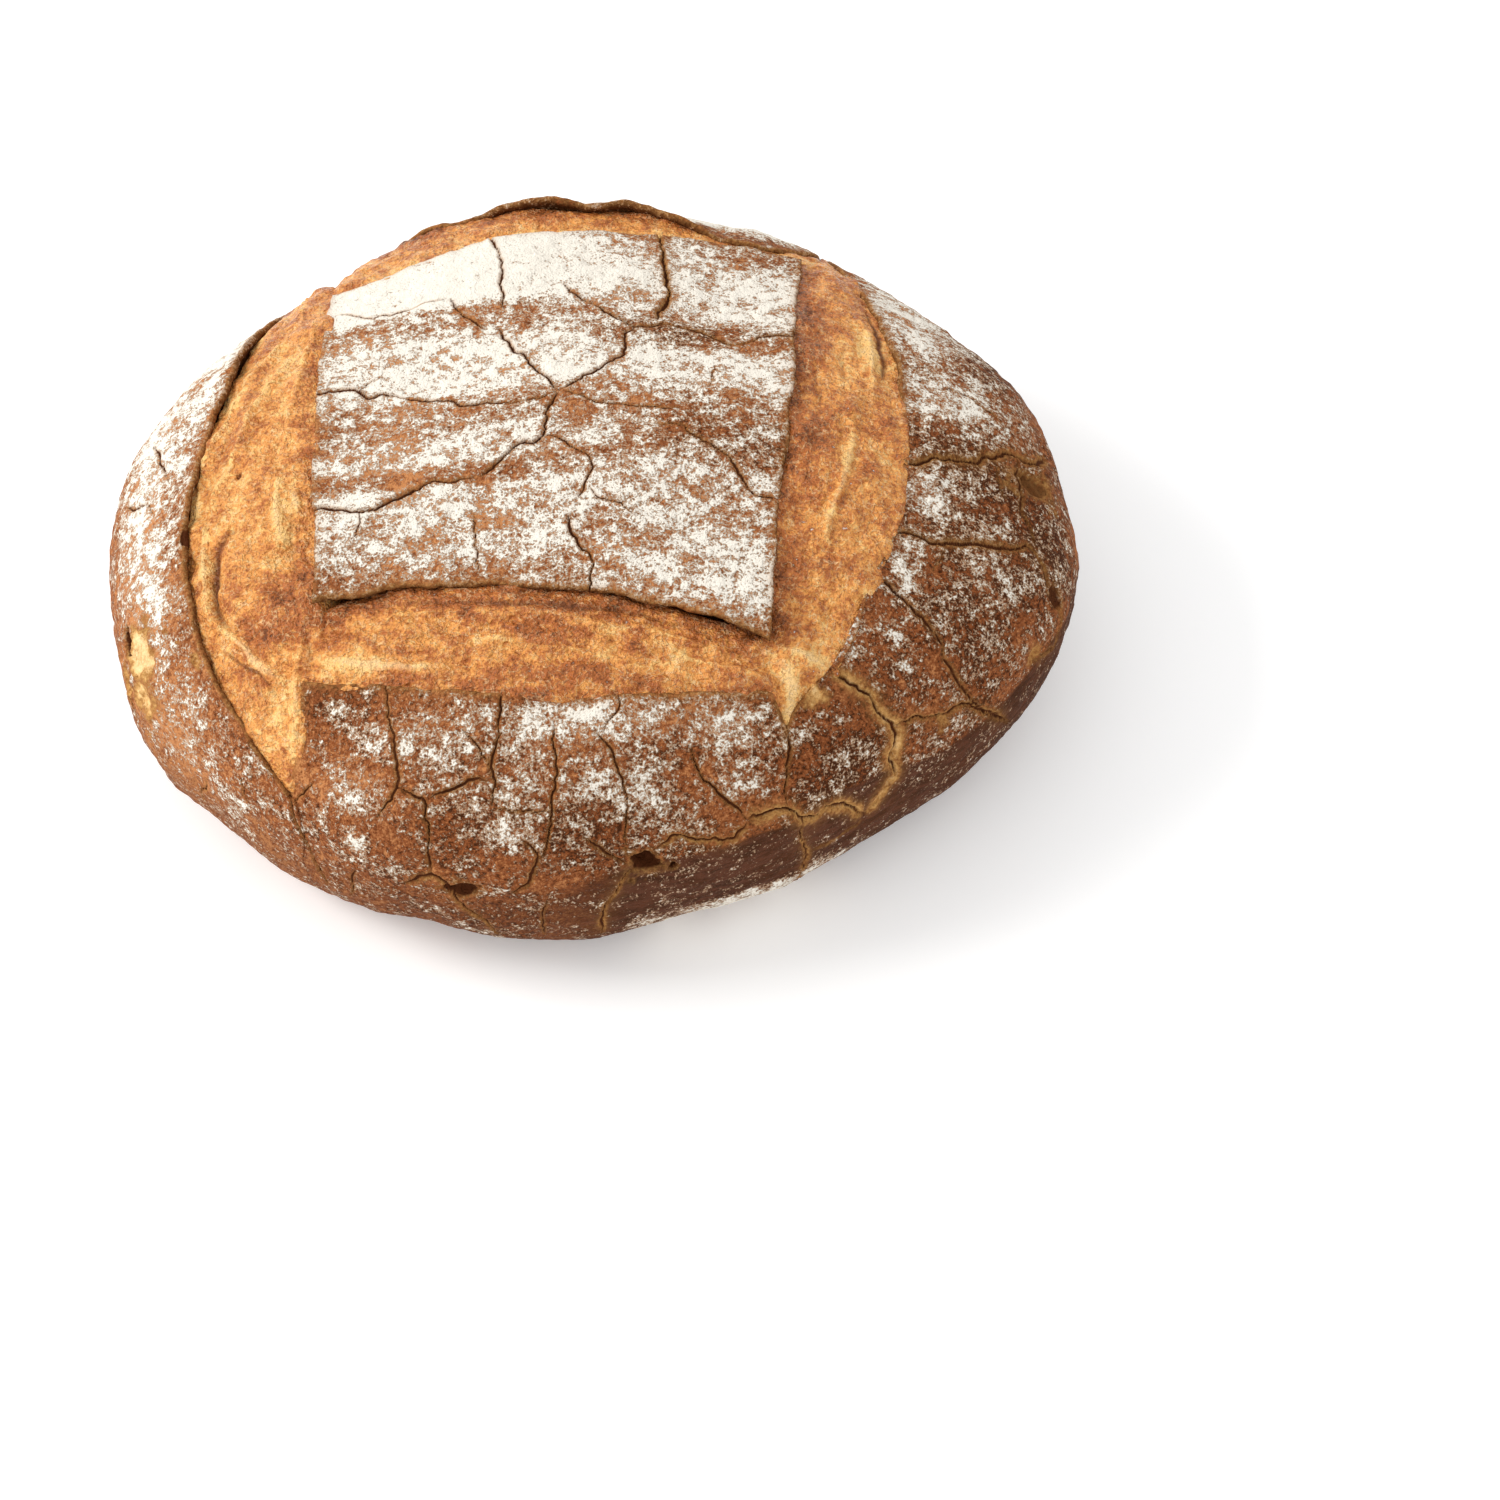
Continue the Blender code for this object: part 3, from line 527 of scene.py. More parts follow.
def crack_fields(flat):
    """Groove depth, staining with painted shade, and rubbed rim of all cracks at skin coordinates (..., 2),
    depth in m.

    Each crack is a ragged curve. Its groove is a rounded V whose width tapers to the ends and
    varies along it, with a slightly raised bank on either side. The dark core, partly staining of
    the opened crust and partly painted shade in the groove, and the rim fall off with the square of
    the distance, and the flanks of a wide crack are golden.
    """
    shape = flat.shape[:-1]
    points = flat.reshape(-1, 2)
    lift, stain_and_shade, rim = np.zeros((3, len(points)))
    for index, (width, depth, knots) in enumerate(CRACKS):
        rough = ((11.0 + index, 0.9, 6.0), (31.0 + index, 0.35, 2.0))
        near, distance, share, length, swell = along_curve(
            points, knots, 0.3, rough, CRACK_REACH * MM, index * 0.37, 7.0, 3)
        taper = np.clip(np.minimum(share, 1.0 - share) * length / 5.0, 0.0, 1.0) ** 0.5
        gold = min(1.0, max(0.0, (width - GOLD_FROM) / GOLD_RANGE))
        half = np.maximum(CRACK_HALF * width * MM * (0.35 + 0.65 * taper) * swell, CRACK_LEAST * MM)
        groove = np.clip(1.0 - (distance / (1.6 * half)) ** 2, 0.0, 1.0) * 0.6 * depth * MM
        groove = groove * (0.2 + 0.8 * taper)
        bank = np.exp(-((distance - 2.6 * half) / (2.4 * half)) ** 2) * 0.16 * MM * taper
        lift[near] += bank
        lift[near] = np.minimum(lift[near], lift[near] - groove)
        stain_and_shade[near] = np.maximum(stain_and_shade[near], np.exp(-(distance / (0.95 * half)) ** 2)
                                 * (0.35 + 0.65 * taper) * (1.0 - 0.2 * gold))
        flank = np.exp(-(distance / (2.0 * half + gold * 0.8 * MM * swell)) ** 2) * (0.62 + 0.8 * gold)
        wide = np.exp(-(distance / (3.2 * MM)) ** 2) * 0.42 * gold
        rim[near] = np.maximum(rim[near], np.maximum(flank, wide) * taper)
    return lift.reshape(shape), stain_and_shade.reshape(shape), rim.reshape(shape)


def blob(flat_mm, p, q, half_p, half_q):
    """Rounded bump of height 1 at p, q, in mm."""
    return np.exp(-((flat_mm[..., 0] - p) / half_p) ** 2 - ((flat_mm[..., 1] - q) / half_q) ** 2)


def side_band(flat, points):
    """1 on the smooth low side, 0 above a wavering line under the slashes; weaker on the left, a painted
    light that keeps the lit left low side lighter.

    It is a ramp over the distance from the top plus noise, softer and lower towards the left.
    """
    left = np.clip((20.0 * MM - flat[..., 0]) / (45.0 * MM), 0.0, 1.0)
    reach = np.hypot(flat[..., 0], flat[..., 1]) / MM
    waver = SIDE_WAVER * NOISE.octaves(points, SIDE_WAVE * MM, 4)
    step = (reach + waver - SIDE_FROM) / (1.6 + 14.0 * left)
    # Painted light: the band weakens on the lit left.
    return np.clip(step, 0.0, 1.0) * (1.0 - 0.72 * left)


def flour_density(flat, points):
    """Share of the crust that flour covers: bands over the plate, patches on the flaps.

    Across the plate the bands' densities are read at q plus a drop and a bend, and blended from left
    to right. Elsewhere it is the largest of the patches' rounded bumps, none on the low front side,
    or the dusting at the front of the foot.
    """
    flat_mm = flat / MM
    p = flat_mm[..., 0]
    q = flat_mm[..., 1]
    bend = 2.6 * NOISE.octaves(points * np.array([0.5, 1.0, 1.0]), 30.0 * MM, 2)
    drop = 4.0 * (p / 60.0) ** 2
    level = q + bend + drop
    mix = np.clip((p - BLEND_FROM) / BLEND_WIDTH, 0.0, 1.0)
    left, right = (np.interp(level, *np.array(bands).T) for bands in (BANDS_LEFT, BANDS_RIGHT))
    bands = left * (1.0 - mix) + right * mix
    patches = np.full(p.shape, DUSTING)
    for at_p, at_q, half_p, half_q, density in PATCHES:
        patches = np.maximum(patches, density * blob(flat_mm, at_p, at_q, half_p, half_q) ** 0.6)
    patches = patches * (1.0 - side_band(flat, points) * (q < 60.0))
    under = np.clip((np.hypot(p, q) - FOOT_DUST_FROM) / 5.0, 0.0, 1.0)
    under = under * np.clip(1.6 - np.abs(p - 70.0) / 40.0, 0.0, 1.0)
    patches = np.maximum(patches, FOOT_DUST * under * (q < 0.0))
    side, front, back = PLATE_REACH
    on_plate = np.clip((side - np.abs(p)) / 4.0, 0.0, 1.0) * np.clip((q + front) / 4.0, 0.0, 1.0)
    on_plate *= np.clip((back - q) / 4.0, 0.0, 1.0)
    return bands * on_plate + patches * (1.0 - on_plate)


def bake_and_shade_level(flat, points):
    """How dark the crust is: the usual level, the rounded bumps of the dark places, partly baking and
    partly painted shade, and noise.
    """
    flat_mm = flat / MM
    level = np.full(flat.shape[:-1], USUAL_BAKE)
    for at_p, at_q, half_p, half_q, rise in DARK_PLACES:
        level = level + rise * blob(flat_mm, at_p, at_q, half_p, half_q)
    return level + 0.12 * NOISE.octaves(points, 26.0 * MM, 3)


def crust_lift(flat, points):
    """Relief of the crust over the base form, its darkening by staining and by painted shade in cracks
    and hollows, and how rubbed or golden it is.

    The relief is a sum of sine lumps, cracks, noise and tears, which are ovals with a noisy outline
    sunk by a smooth step. It fades out at the foot.
    """
    lift = np.zeros(flat.shape[:-1])
    for along_p, along_q, phase, rise in LUMPS:
        turns = along_p * flat[..., 0] + along_q * flat[..., 1]
        lift = lift + rise * MM * np.sin(2.0 * math.pi * turns + phase)
    dark, gold = np.zeros((2,) + flat.shape[:-1])
    wobble = 0.50 * NOISE.octaves(points, 4.0 * MM, 4, 0.6)
    for at_p, at_q, half_p, half_q, depth, shade, shine in TEARS:
        away = np.sqrt(((flat[..., 0] / MM - at_p) / half_p) ** 2
                       + ((flat[..., 1] / MM - at_q) / half_q) ** 2) * (1.0 + wobble)
        hollow = np.clip(1.35 - away, 0.0, 1.0)
        hollow = hollow * hollow * (3.0 - 2.0 * hollow)
        lift = lift - depth * MM * hollow
        # Painted shade in the deep middle of a hollow.
        dark = np.maximum(dark, shade * np.clip((1.2 - away) / 0.3, 0.0, 1.0))
        gold = np.maximum(gold, shine * np.clip(1.8 - away, 0.0, 1.0))
    lift = lift + 0.7 * MM * np.clip(gold, 0.0, 1.0) * NOISE.octaves(points, 2.6 * MM, 2)
    groove, stain_and_shade, rim = crack_fields(flat)
    fine = 0.50 * NOISE.octaves(points, 9.0 * MM, 3) + 0.20 * NOISE.octaves(points, 2.2 * MM, 2)
    foot = np.clip((RELIEF_END - np.hypot(flat[..., 0], flat[..., 1])) / RELIEF_FADE, 0.0, 1.0)
    return (lift + groove + fine * MM) * foot, np.maximum(stain_and_shade, dark), np.maximum(rim, gold)


def add_mesh(name, points, quads, triangles, layers, material):
    """Object at the origin from arrays of points and faces, with a float attribute per layer."""
    mesh = bpy.data.meshes.new(name)
    mesh.vertices.add(len(points))
    mesh.vertices.foreach_set("co", points.astype(np.float32).ravel())
    corners = np.concatenate([quads.ravel(), triangles.ravel()]).astype(np.int32)
    starts = np.concatenate([np.arange(len(quads)) * 4,
                             len(quads) * 4 + np.arange(len(triangles)) * 3]).astype(np.int32)
    mesh.loops.add(len(corners))
    mesh.loops.foreach_set("vertex_index", corners)
    mesh.polygons.add(len(starts))
    mesh.polygons.foreach_set("loop_start", starts)
    mesh.update(calc_edges=True)
    if mesh.validate():
        raise RuntimeError("the mesh of " + name + " has faulty faces")
    mesh.shade_smooth()
    for layer, values in layers.items():
        kind = "FLOAT_VECTOR" if values.ndim == 2 else "FLOAT"
        attribute = mesh.attributes.new(layer, kind, "POINT")
        attribute.data.foreach_set("vector" if values.ndim == 2 else "value",
                                   values.astype(np.float32).ravel())
    mesh.materials.append(material)
    piece = bpy.data.objects.new(name, mesh)
    bpy.context.scene.collection.objects.link(piece)
    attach(piece, BODY)
    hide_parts(NODE)
    return piece


def grid_quads(rows, columns):
    """Faces of a grid of points numbered row by row, facing along column x row."""
    start = (np.arange(rows - 1)[:, None] * columns + np.arange(columns - 1)).ravel()
    return np.stack([start, start + 1, start + 1 + columns, start + columns], axis=-1)


def shell(name, form, sheet, lift, layers, open_share, pole, material, rim_burn_and_shade=0.0):
    """Closed piece: a lifted sheet, walls round its rim and a pole.

    open_share says for each rim point how open its edge is: an open edge bulges out over the slash
    as a lip, a hidden one goes straight down. rim_burn_and_shade is how much darker the walls under an
    open edge are made: partly a burnt edge, partly painted shade in the gap under the lip.
    """
    rows, columns = sheet.shape[:2]
    top = form.lifted(sheet, lift)
    rim = loop_of(sheet)
    rim_lift = loop_of(lift)
    wide = (np.roll(rim, -6, axis=0) - np.roll(rim, 6, axis=0))
    wide /= np.hypot(wide[:, 0], wide[:, 1])[:, None]
    out = np.stack([wide[:, 1], -wide[:, 0]], axis=-1)
    numbers = loop_of(np.arange(rows * columns).reshape(rows, columns))
    count = len(rim)
    points = [top.reshape(-1, 3)]
    quads = [grid_quads(rows, columns)]
    upper = numbers
    following = np.roll(np.arange(count), -1)
    total = rows * columns
    top_rim = form.lifted(rim, rim_lift)
    crumble = NOISE.octaves(top_rim, 2.5 * MM, 2)
    for step, ((open_out, open_down), (shut_out, shut_down)) in enumerate(WALL_ROWS):
        outward = shut_out + (open_out - shut_out) * open_share
        down = shut_down + (open_down - shut_down) * open_share
        outward = outward + open_share * 0.45 * crumble * min(step, 3) / 3.0
        row = form.lifted(rim + out * (outward * MM)[:, None], rim_lift - down * MM)
        lower = total + np.arange(count)
        points.append(row)
        quads.append(np.stack([lower, lower[following], upper[following], upper], axis=-1))
        upper = lower
        total += count
    points.append(np.array(pole, dtype=float)[None])
    triangles = np.stack([upper[following], upper, np.full(count, total)], axis=-1)
    filled = {}
    for layer, values in layers.items():
        edge = loop_of(values)
        parts = [values.reshape((rows * columns,) + values.shape[2:])]
        for step in range(len(WALL_ROWS)):
            # Under an open edge the walls lose their golden tear and turn darker: partly burnt crust, partly
            # painted shade in the gap under the lip.
            if layer == "raw":
                parts.append(edge * (1.0 - 0.3 * step * open_share).clip(0.2, 1.0))
            elif layer == "flour":
                parts.append(edge * (1.0 - open_share * min(1.0, 0.35 + 0.4 * step)))
            elif layer == "bake_and_shade":
                parts.append(edge + open_share * (rim_burn_and_shade if step else 0.6 * rim_burn_and_shade))
            else:
                parts.append(edge)
        parts.append(edge[:1])
        filled[layer] = np.concatenate(parts)
    return add_mesh(name, np.concatenate(points), np.concatenate(quads), triangles, filled, material)


def grid_step():
    return 0.46 * MM


def crust_piece(name, form, sides, rims, pole, material):
    """A flap or plate of crust from its low, high, start and end edges.

    rims gives the lip height in metres and the openness of each edge that has them, as numbers or
    arrays over the edge. A lip and the wear of an open edge fall off exponentially from the edge.
    """
    sheet = coons(*sides)
    rows, columns = sheet.shape[:2]
    base = form.lifted(sheet, np.zeros((rows, columns)))
    lift, crack, rim = crust_lift(sheet, base)
    wear, marks = np.zeros((2, rows, columns))
    waver = 1.0 + 0.35 * NOISE.octaves(base, 18.0 * MM, 2)
    for edge, (height, share) in rims.items():
        place = EDGES[edge]
        gap = np.linalg.norm(base - base[place], axis=-1)
        lift = lift + height * np.exp(-gap / loaf_settings().lip_spread) * waver
        wear = np.maximum(wear, share * np.exp(-gap / (1.1 * MM)))
        marks[place] = np.maximum(marks[place], share)
    layers = {
        "flour": flour_density(sheet, base),
        "bake_and_shade": bake_and_shade_level(sheet, base),
        # crack: staining and painted shade of the cracks and the torn hollows
        "crack": crack,
        "raw": np.maximum(wear * 0.45, rim),
        "side": side_band(sheet, base),
    }
    return shell(name, form, sheet, lift, layers, loop_of(marks), pole, material, rim_burn_and_shade=0.42)


def counts(along, across, coarse=1.0):
    """Numbers of grid points for a sheet so long and so wide, in mm."""
    step = grid_step() / MM * coarse
    return int(along / step) + 2, int(across / step) + 2


def foot_edge(start_path, end_path, count):
    """Low edge of a flap: angle and distance change evenly between the ends of its side edges."""
    first = math.atan2(start_path[-1][1], start_path[-1][0])
    last = math.atan2(end_path[-1][1], end_path[-1][0])
    if last < first:
        last += 2.0 * math.pi
    angle = np.linspace(first, last, count)
    near = np.hypot(*start_path[-1])
    far = np.hypot(*end_path[-1])
    reach = np.linspace(near, far, count)
    return np.stack([reach * np.cos(angle), reach * np.sin(angle)], axis=-1)


def side_edge(run, corner, seed, count):
    """Side edge of a flap from its shoulder (or tip) to the foot, and how open each point is."""
    crack = ragged(smooth_path(corner, 400), seed, 0.8 * MM, 9.0 * MM)
    if run is None:
        path = crack
        tip = 0.0
    else:
        head = ragged(smooth_path(run, 120), seed + 0.5, 0.5 * MM, 7.0 * MM)
        path = np.concatenate([head[:-1], crack])
        tip = np.hypot(*np.diff(head, axis=0).T).sum()
    length = np.hypot(*np.diff(path, axis=0).T).sum()
    away = np.linspace(0.0, length, count)
    share = np.clip(1.0 - (away - tip) / (6.0 * MM), 0.0, 1.0)
    return resample(path, count), share


def flap(name, form, inner, starts, ends, seeds, sizes, lip, pole, material, coarse=1.0):
    """Flap of the outer crust between its slash, two side edges and the foot.

    starts and ends each hold the run-out, or None, and the corner crack of a side edge. sizes is how
    far the flap reaches along and across the slash in mm.
    """
    columns, rows = counts(*sizes, coarse)
    start, start_open = side_edge(*starts, seeds[0], rows)
    end, end_open = side_edge(*ends, seeds[1], rows)
    high = ragged(smooth_path(inner, columns), seeds[2], 0.9 * MM, 12.0 * MM)
    low = foot_edge(start, end, columns)
    rims = {"high": (lip, 1.0), "start": (0.0, start_open[::-1, None]), "end": (0.0, end_open[::-1, None])}
    return crust_piece(name, form, (low, high, start[::-1], end[::-1]), rims, pole, material)


def length_setting(name, description, default):
    """Property for a length in metres."""
    return bpy.props.FloatProperty(name=name, description=description, default=default, unit="LENGTH")


def colour_setting(name, description, default):
    """Property for a colour."""
    return bpy.props.FloatVectorProperty(name=name, description=description, default=default,
                                         subtype="COLOR", size=3, min=0.0, max=1.0)


class LoafSettings(bpy.types.PropertyGroup):
    """Sizes and colours of the loaf."""

    half_length: length_setting("Half length", "Half of the loaf's length before its plan waves", 0.132)
    half_width: length_setting("Half width", "Half of the loaf's width before its plan waves", 0.1165)
    height: length_setting("Height", "Height of the base form", 0.094)
    waist_height: length_setting("Waist height", "Height of the widest level", 0.040)
    foot_tuck: length_setting("Foot tuck", "How far the foot tucks in under the widest level", 0.026)
    lip_spread: length_setting("Lip spread", "Distance over which a raised lip falls off", 0.009)
    plate_lip: length_setting("Plate lip", "Rise of the front edge of the centre plate", 0.0016)
    outer_lip: length_setting("Outer lip", "Rise of the outer crust's edge on the left", 0.0012)
    back_ear: length_setting("Back ear", "Rise of the ear behind the centre plate", 0.0062)
    flour: colour_setting("Flour", "Colour of the flour", (0.88, 0.82, 0.72))
    crust_light: colour_setting("Light crust", "Colour of the least baked crust", (0.55, 0.230, 0.086))
    crust_mid: colour_setting("Middle crust", "Colour of the crust", (0.250, 0.073, 0.022))
    crust_dark: colour_setting("Dark crust", "Colour of the darkest crust", (0.058, 0.016, 0.004))
    side_light: colour_setting("Light low side", "Lighter colour of the smooth low side",
                               (0.110, 0.040, 0.021))
    side_dark: colour_setting("Dark low side", "Darker colour of the smooth low side",
                              (0.052, 0.019, 0.008))
    dusted: colour_setting("Dusted crust", "Colour of crust under a thin veil of flour",
                           (0.57, 0.362, 0.220))
    # The crack colour is also painted shade: the dark cores of cracks, the torn hollows and the hidden body.
    crack: colour_setting("Cracks", "Colour inside the cracks", (0.082, 0.023, 0.007))
    torn_light: colour_setting("Light torn edge", "Palest colour of torn crust edges",
                               (0.52, 0.27, 0.085))
    torn_dark: colour_setting("Dark torn edge", "Darkest colour of torn crust edges",
                              (0.27, 0.095, 0.026))
    crumb_light: colour_setting("Light crumb", "Palest colour of the risen crumb", (0.95, 0.57, 0.20))
    crumb_gold: colour_setting("Golden crumb", "Main colour of the risen crumb", (0.80, 0.335, 0.082))
    crumb_brown: colour_setting("Brown crumb", "Browned colour of the risen crumb",
                                (0.46, 0.135, 0.032))
    # Colour of the deepest browning, and of the painted shade in the creases.
    crumb_deep_and_shade: colour_setting("Deep crumb", "Colour of the creases of the risen crumb",
                               (0.17, 0.048, 0.011))
    # Also the colour of the painted highlights, the glints of the crumb's blisters.
    crumb_cream_and_highlight: colour_setting("Creamy crumb", "Colour of the palest flecks of the risen crumb",
                                (0.95, 0.68, 0.37))


class LoafStage(bpy.types.PropertyGroup):
    """Floor, lights and camera."""

    floor: colour_setting("Floor", "Colour of the floor", (0.94, 0.94, 0.94))
    glow: bpy.props.FloatProperty(
        name="Floor glow", description="Light from under the pale floor, as on a light table", default=0.18)
    sky: bpy.props.FloatProperty(
        name="Room light", description="Strength of the light from all round", default=0.90)
    key: bpy.props.FloatProperty(
        name="Key light", description="Power of the large light on the left",
        default=20.0, unit="POWER")
    lens: bpy.props.FloatProperty(
        name="Lens", description="Focal length of the camera", default=85.0, unit="CAMERA")
    elevation: bpy.props.FloatProperty(
        name="Camera elevation", description="Angle of the view below the horizon",
        default=math.radians(53.0), subtype="ANGLE")
    distance: length_setting("Camera distance", "Distance from the camera to the aim point", 1.0)
    aim: bpy.props.FloatVectorProperty(
        name="Aim", description="Point on the floor that the camera looks at", size=2,
        default=(0.0455 - PLAN_MIDDLE[0], -0.0390 - PLAN_MIDDLE[1]), unit="LENGTH")


class Value:
    """A socket with arithmetic: each operation adds a Math node."""

    def __init__(self, shading, socket):
        self.shading = shading
        self.socket = socket

    def math(self, operation, *others, clamp=False):
        """Result of a Math node over this value and the others."""
        node = self.shading.add("ShaderNodeMath", {"operation": operation, "use_clamp": clamp},
                                dict(enumerate((self,) + others)))
        return Value(self.shading, node.outputs[0])

    def __add__(self, other):
        return self.math("ADD", other)

    def __sub__(self, other):
        return self.math("SUBTRACT", other)

    def __mul__(self, other):
        return self.math("MULTIPLY", other)

    def __neg__(self):
        return self.math("MULTIPLY", -1.0)

    def __rsub__(self, other):
        return (-self) + other

    __radd__ = __add__
    __rmul__ = __mul__

    def clamped(self):
        """This value held between 0 and 1."""
        return self.math("ADD", 0.0, clamp=True)

    def rise(self, low, high):
        """Smooth step from 0 at low to 1 at high."""
        node = self.shading.add("ShaderNodeMapRange", {"interpolation_type": "SMOOTHSTEP"},
                                {"Value": self, "From Min": low, "From Max": high})
        return Value(self.shading, node.outputs[0])


class Shading:
    """Node tree of one material."""

    def __init__(self, name):
        self.material = bpy.data.materials.new(name)
        self.material.use_nodes = True
        self.tree = self.material.node_tree
        self.shader = self.tree.nodes["Principled BSDF"]
        self.place = self.add("ShaderNodeTexCoord").outputs["Object"]

    def add(self, kind, settings=None, sockets=None):
        """New node of a kind, with its settings, and its sockets set or linked."""
        node = self.tree.nodes.new(kind)
        for key, value in (settings or {}).items():
            setattr(node, key, value)
        for key, value in (sockets or {}).items():
            self.feed(node.inputs[key], value)
        return node

    def feed(self, socket, value):
        """Link a value or a socket to a socket, or set the socket to a constant."""
        if isinstance(value, Value):
            value = value.socket
        if isinstance(value, bpy.types.NodeSocket):
            self.tree.links.new(value, socket)
        elif isinstance(value, (tuple, list)) and len(value) == 3 and socket.type == "RGBA":
            socket.default_value = (*value, 1.0)
        else:
            socket.default_value = value

    def layer(self, name, output="Fac"):
        """Attribute of the piece as a value, or as a vector from its output of that name."""
        node = self.add("ShaderNodeAttribute", {"attribute_type": "GEOMETRY", "attribute_name": name})
        return Value(self, node.outputs[output])

    def noise(self, wave, detail=3.0, place=None, roughness=0.55, stretch=None):
        """Signed noise, mostly between -1 and 1, with features about wave metres across."""
        source = self.place if place is None else place
        if stretch is not None:
            source = self.add("ShaderNodeVectorMath", {"operation": "MULTIPLY"},
                              {0: source, 1: stretch}).outputs[0]
        node = self.add("ShaderNodeTexNoise", {"noise_dimensions": "3D"},
                        {"Vector": source, "Scale": 1.0 / wave, "Detail": detail, "Roughness": roughness})
        return (Value(self, node.outputs[0]) - 0.5) * NOISE_GAIN

    def mix(self, share, first, second):
        """Colour between two colours."""
        node = self.add("ShaderNodeMix", {"data_type": "RGBA", "clamp_factor": True},
                        {0: share, 6: first, 7: second})
        return node.outputs[2]

    def scale(self, colour, share):
        """Colour multiplied by a value."""
        node = self.add("ShaderNodeVectorMath", {"operation": "SCALE"}, {0: colour, "Scale": share})
        return node.outputs[0]

    def finish(self, colour, roughness, height, distance, specular):
        """Feed the shader: colour, roughness, and a height in shares of distance as bump."""
        self.feed(self.shader.inputs["Base Color"], colour)
        self.feed(self.shader.inputs["Roughness"], roughness)
        self.shader.inputs["Specular IOR Level"].default_value = specular
        bump = self.add("ShaderNodeBump", None, {"Height": height, "Distance": distance, "Strength": 1.0})
        self.feed(self.shader.inputs["Normal"], bump.outputs[0])
        return self.material


def colour(name):
    """A colour of the loaf's settings."""
    return tuple(getattr(loaf_settings(), name))


def crust_material():
    """Browned crust under flour: three browns by baking, painted shade and noise, flour where its density
    wins.

    Towards its edge the flour thins to a veil. The low side and some places turn purplish. Rubbed rims
    and the flanks of wide cracks turn golden, with creamy flecks that are partly painted highlights,
    and the cracks and hollows themselves are dark, partly with painted shade.
    """
    found = bpy.data.materials.get("floured crust")
    if found:
        return found
    s = Shading("floured crust")
    broad = s.noise(0.021, 3.0)
    patch = s.noise(0.0078, 3.0, roughness=0.55, stretch=(0.7, 1.0, 1.0))
    clump = s.noise(0.0031, 2.0)
    speck = s.noise(0.0011, 2.5, roughness=0.7)
    grain = s.noise(0.0006, 1.0)
    scuff = s.noise(0.0032, 4.0, roughness=0.72, stretch=(0.35, 0.35, 1.8))
    spot = s.noise(0.0014, 3.0, roughness=0.7, stretch=(1.0, 1.0, -1.0))
    hue = s.noise(0.016, 3.0, stretch=(-1.0, 1.0, 1.0))
    rubbed = s.layer("raw")
    side = s.layer("side")
    calm = 1.0 - side * 0.20
    # The level carries the baking and the painted shade of the dark places and of the walls under open
    # edges.
    bake_and_shade = s.layer("bake_and_shade") + (broad * 0.24 + patch * 0.24 + clump * 0.26 + spot * 0.46 + grain * 0.26) * calm
    brown = s.mix(bake_and_shade.rise(-0.16, 0.36), colour("crust_light"), colour("crust_mid"))
    brown = s.mix(bake_and_shade.rise(0.30, 0.72), brown, colour("crust_dark"))
    mauve = (scuff * 1.3 + spot * 0.8 + broad * 0.5 + 0.45).clamped()
    mauve = s.mix(mauve, colour("side_dark"), colour("side_light"))
    brown = s.mix(((hue * 0.5).clamped() * 0.4 + side * 0.90).clamped(), brown, mauve)
    density = s.layer("flour") - rubbed * 0.30
    cover = density + broad * 0.12 + patch * 0.32 + clump * 0.40 + grain * 0.30
    cover = cover + speck * (0.54 - density.clamped() * 0.20)
    flour = cover.rise(0.44, 0.74)
    tint = s.mix(cover.rise(0.18, 0.60), brown, colour("dusted"))
    tint = s.mix(flour, tint, s.scale(colour("flour"), 1.0 + grain * 0.04 + clump * 0.06))
    torn = s.mix((speck * 0.7 + 0.5).clamped(), colour("torn_dark"), colour("torn_light"))
    golden = s.mix((clump * 0.8 + speck * 0.7 + 0.45).clamped(), colour("torn_light"), colour("crumb_light"))
    # Creamy flecks on torn edges: partly pale torn crumb, partly painted highlights.
    cream_and_highlight = (speck * 0.5 - clump * 0.8 + grain * 0.6).rise(0.30, 0.70) * 0.6
    cream_and_highlight = cream_and_highlight + ((rubbed - 1.2) * 1.1 + clump * 0.5 + speck * 0.4).clamped()
    golden = s.mix(cream_and_highlight.clamped(), golden, colour("crumb_cream_and_highlight"))
    torn = s.mix(((rubbed - 0.8) * 1.4 + clump * 0.3).clamped(), torn, golden)
    tint = s.mix((rubbed * (1.2 + clump * 0.5 + speck * 0.6)).clamped(), tint, torn)
    # Cracks and torn hollows turn towards the crack colour: partly staining, partly painted shade.
    tint = s.mix((s.layer("crack") + speck * 0.12).rise(0.20, 0.66), tint, colour("crack"))
    height = flour * 0.30 + speck * 0.20 + clump * 0.24 + grain * 0.16 + spot * 0.12
    return s.finish(tint, 0.72 + flour * 0.2, height, 0.0008, 0.05)


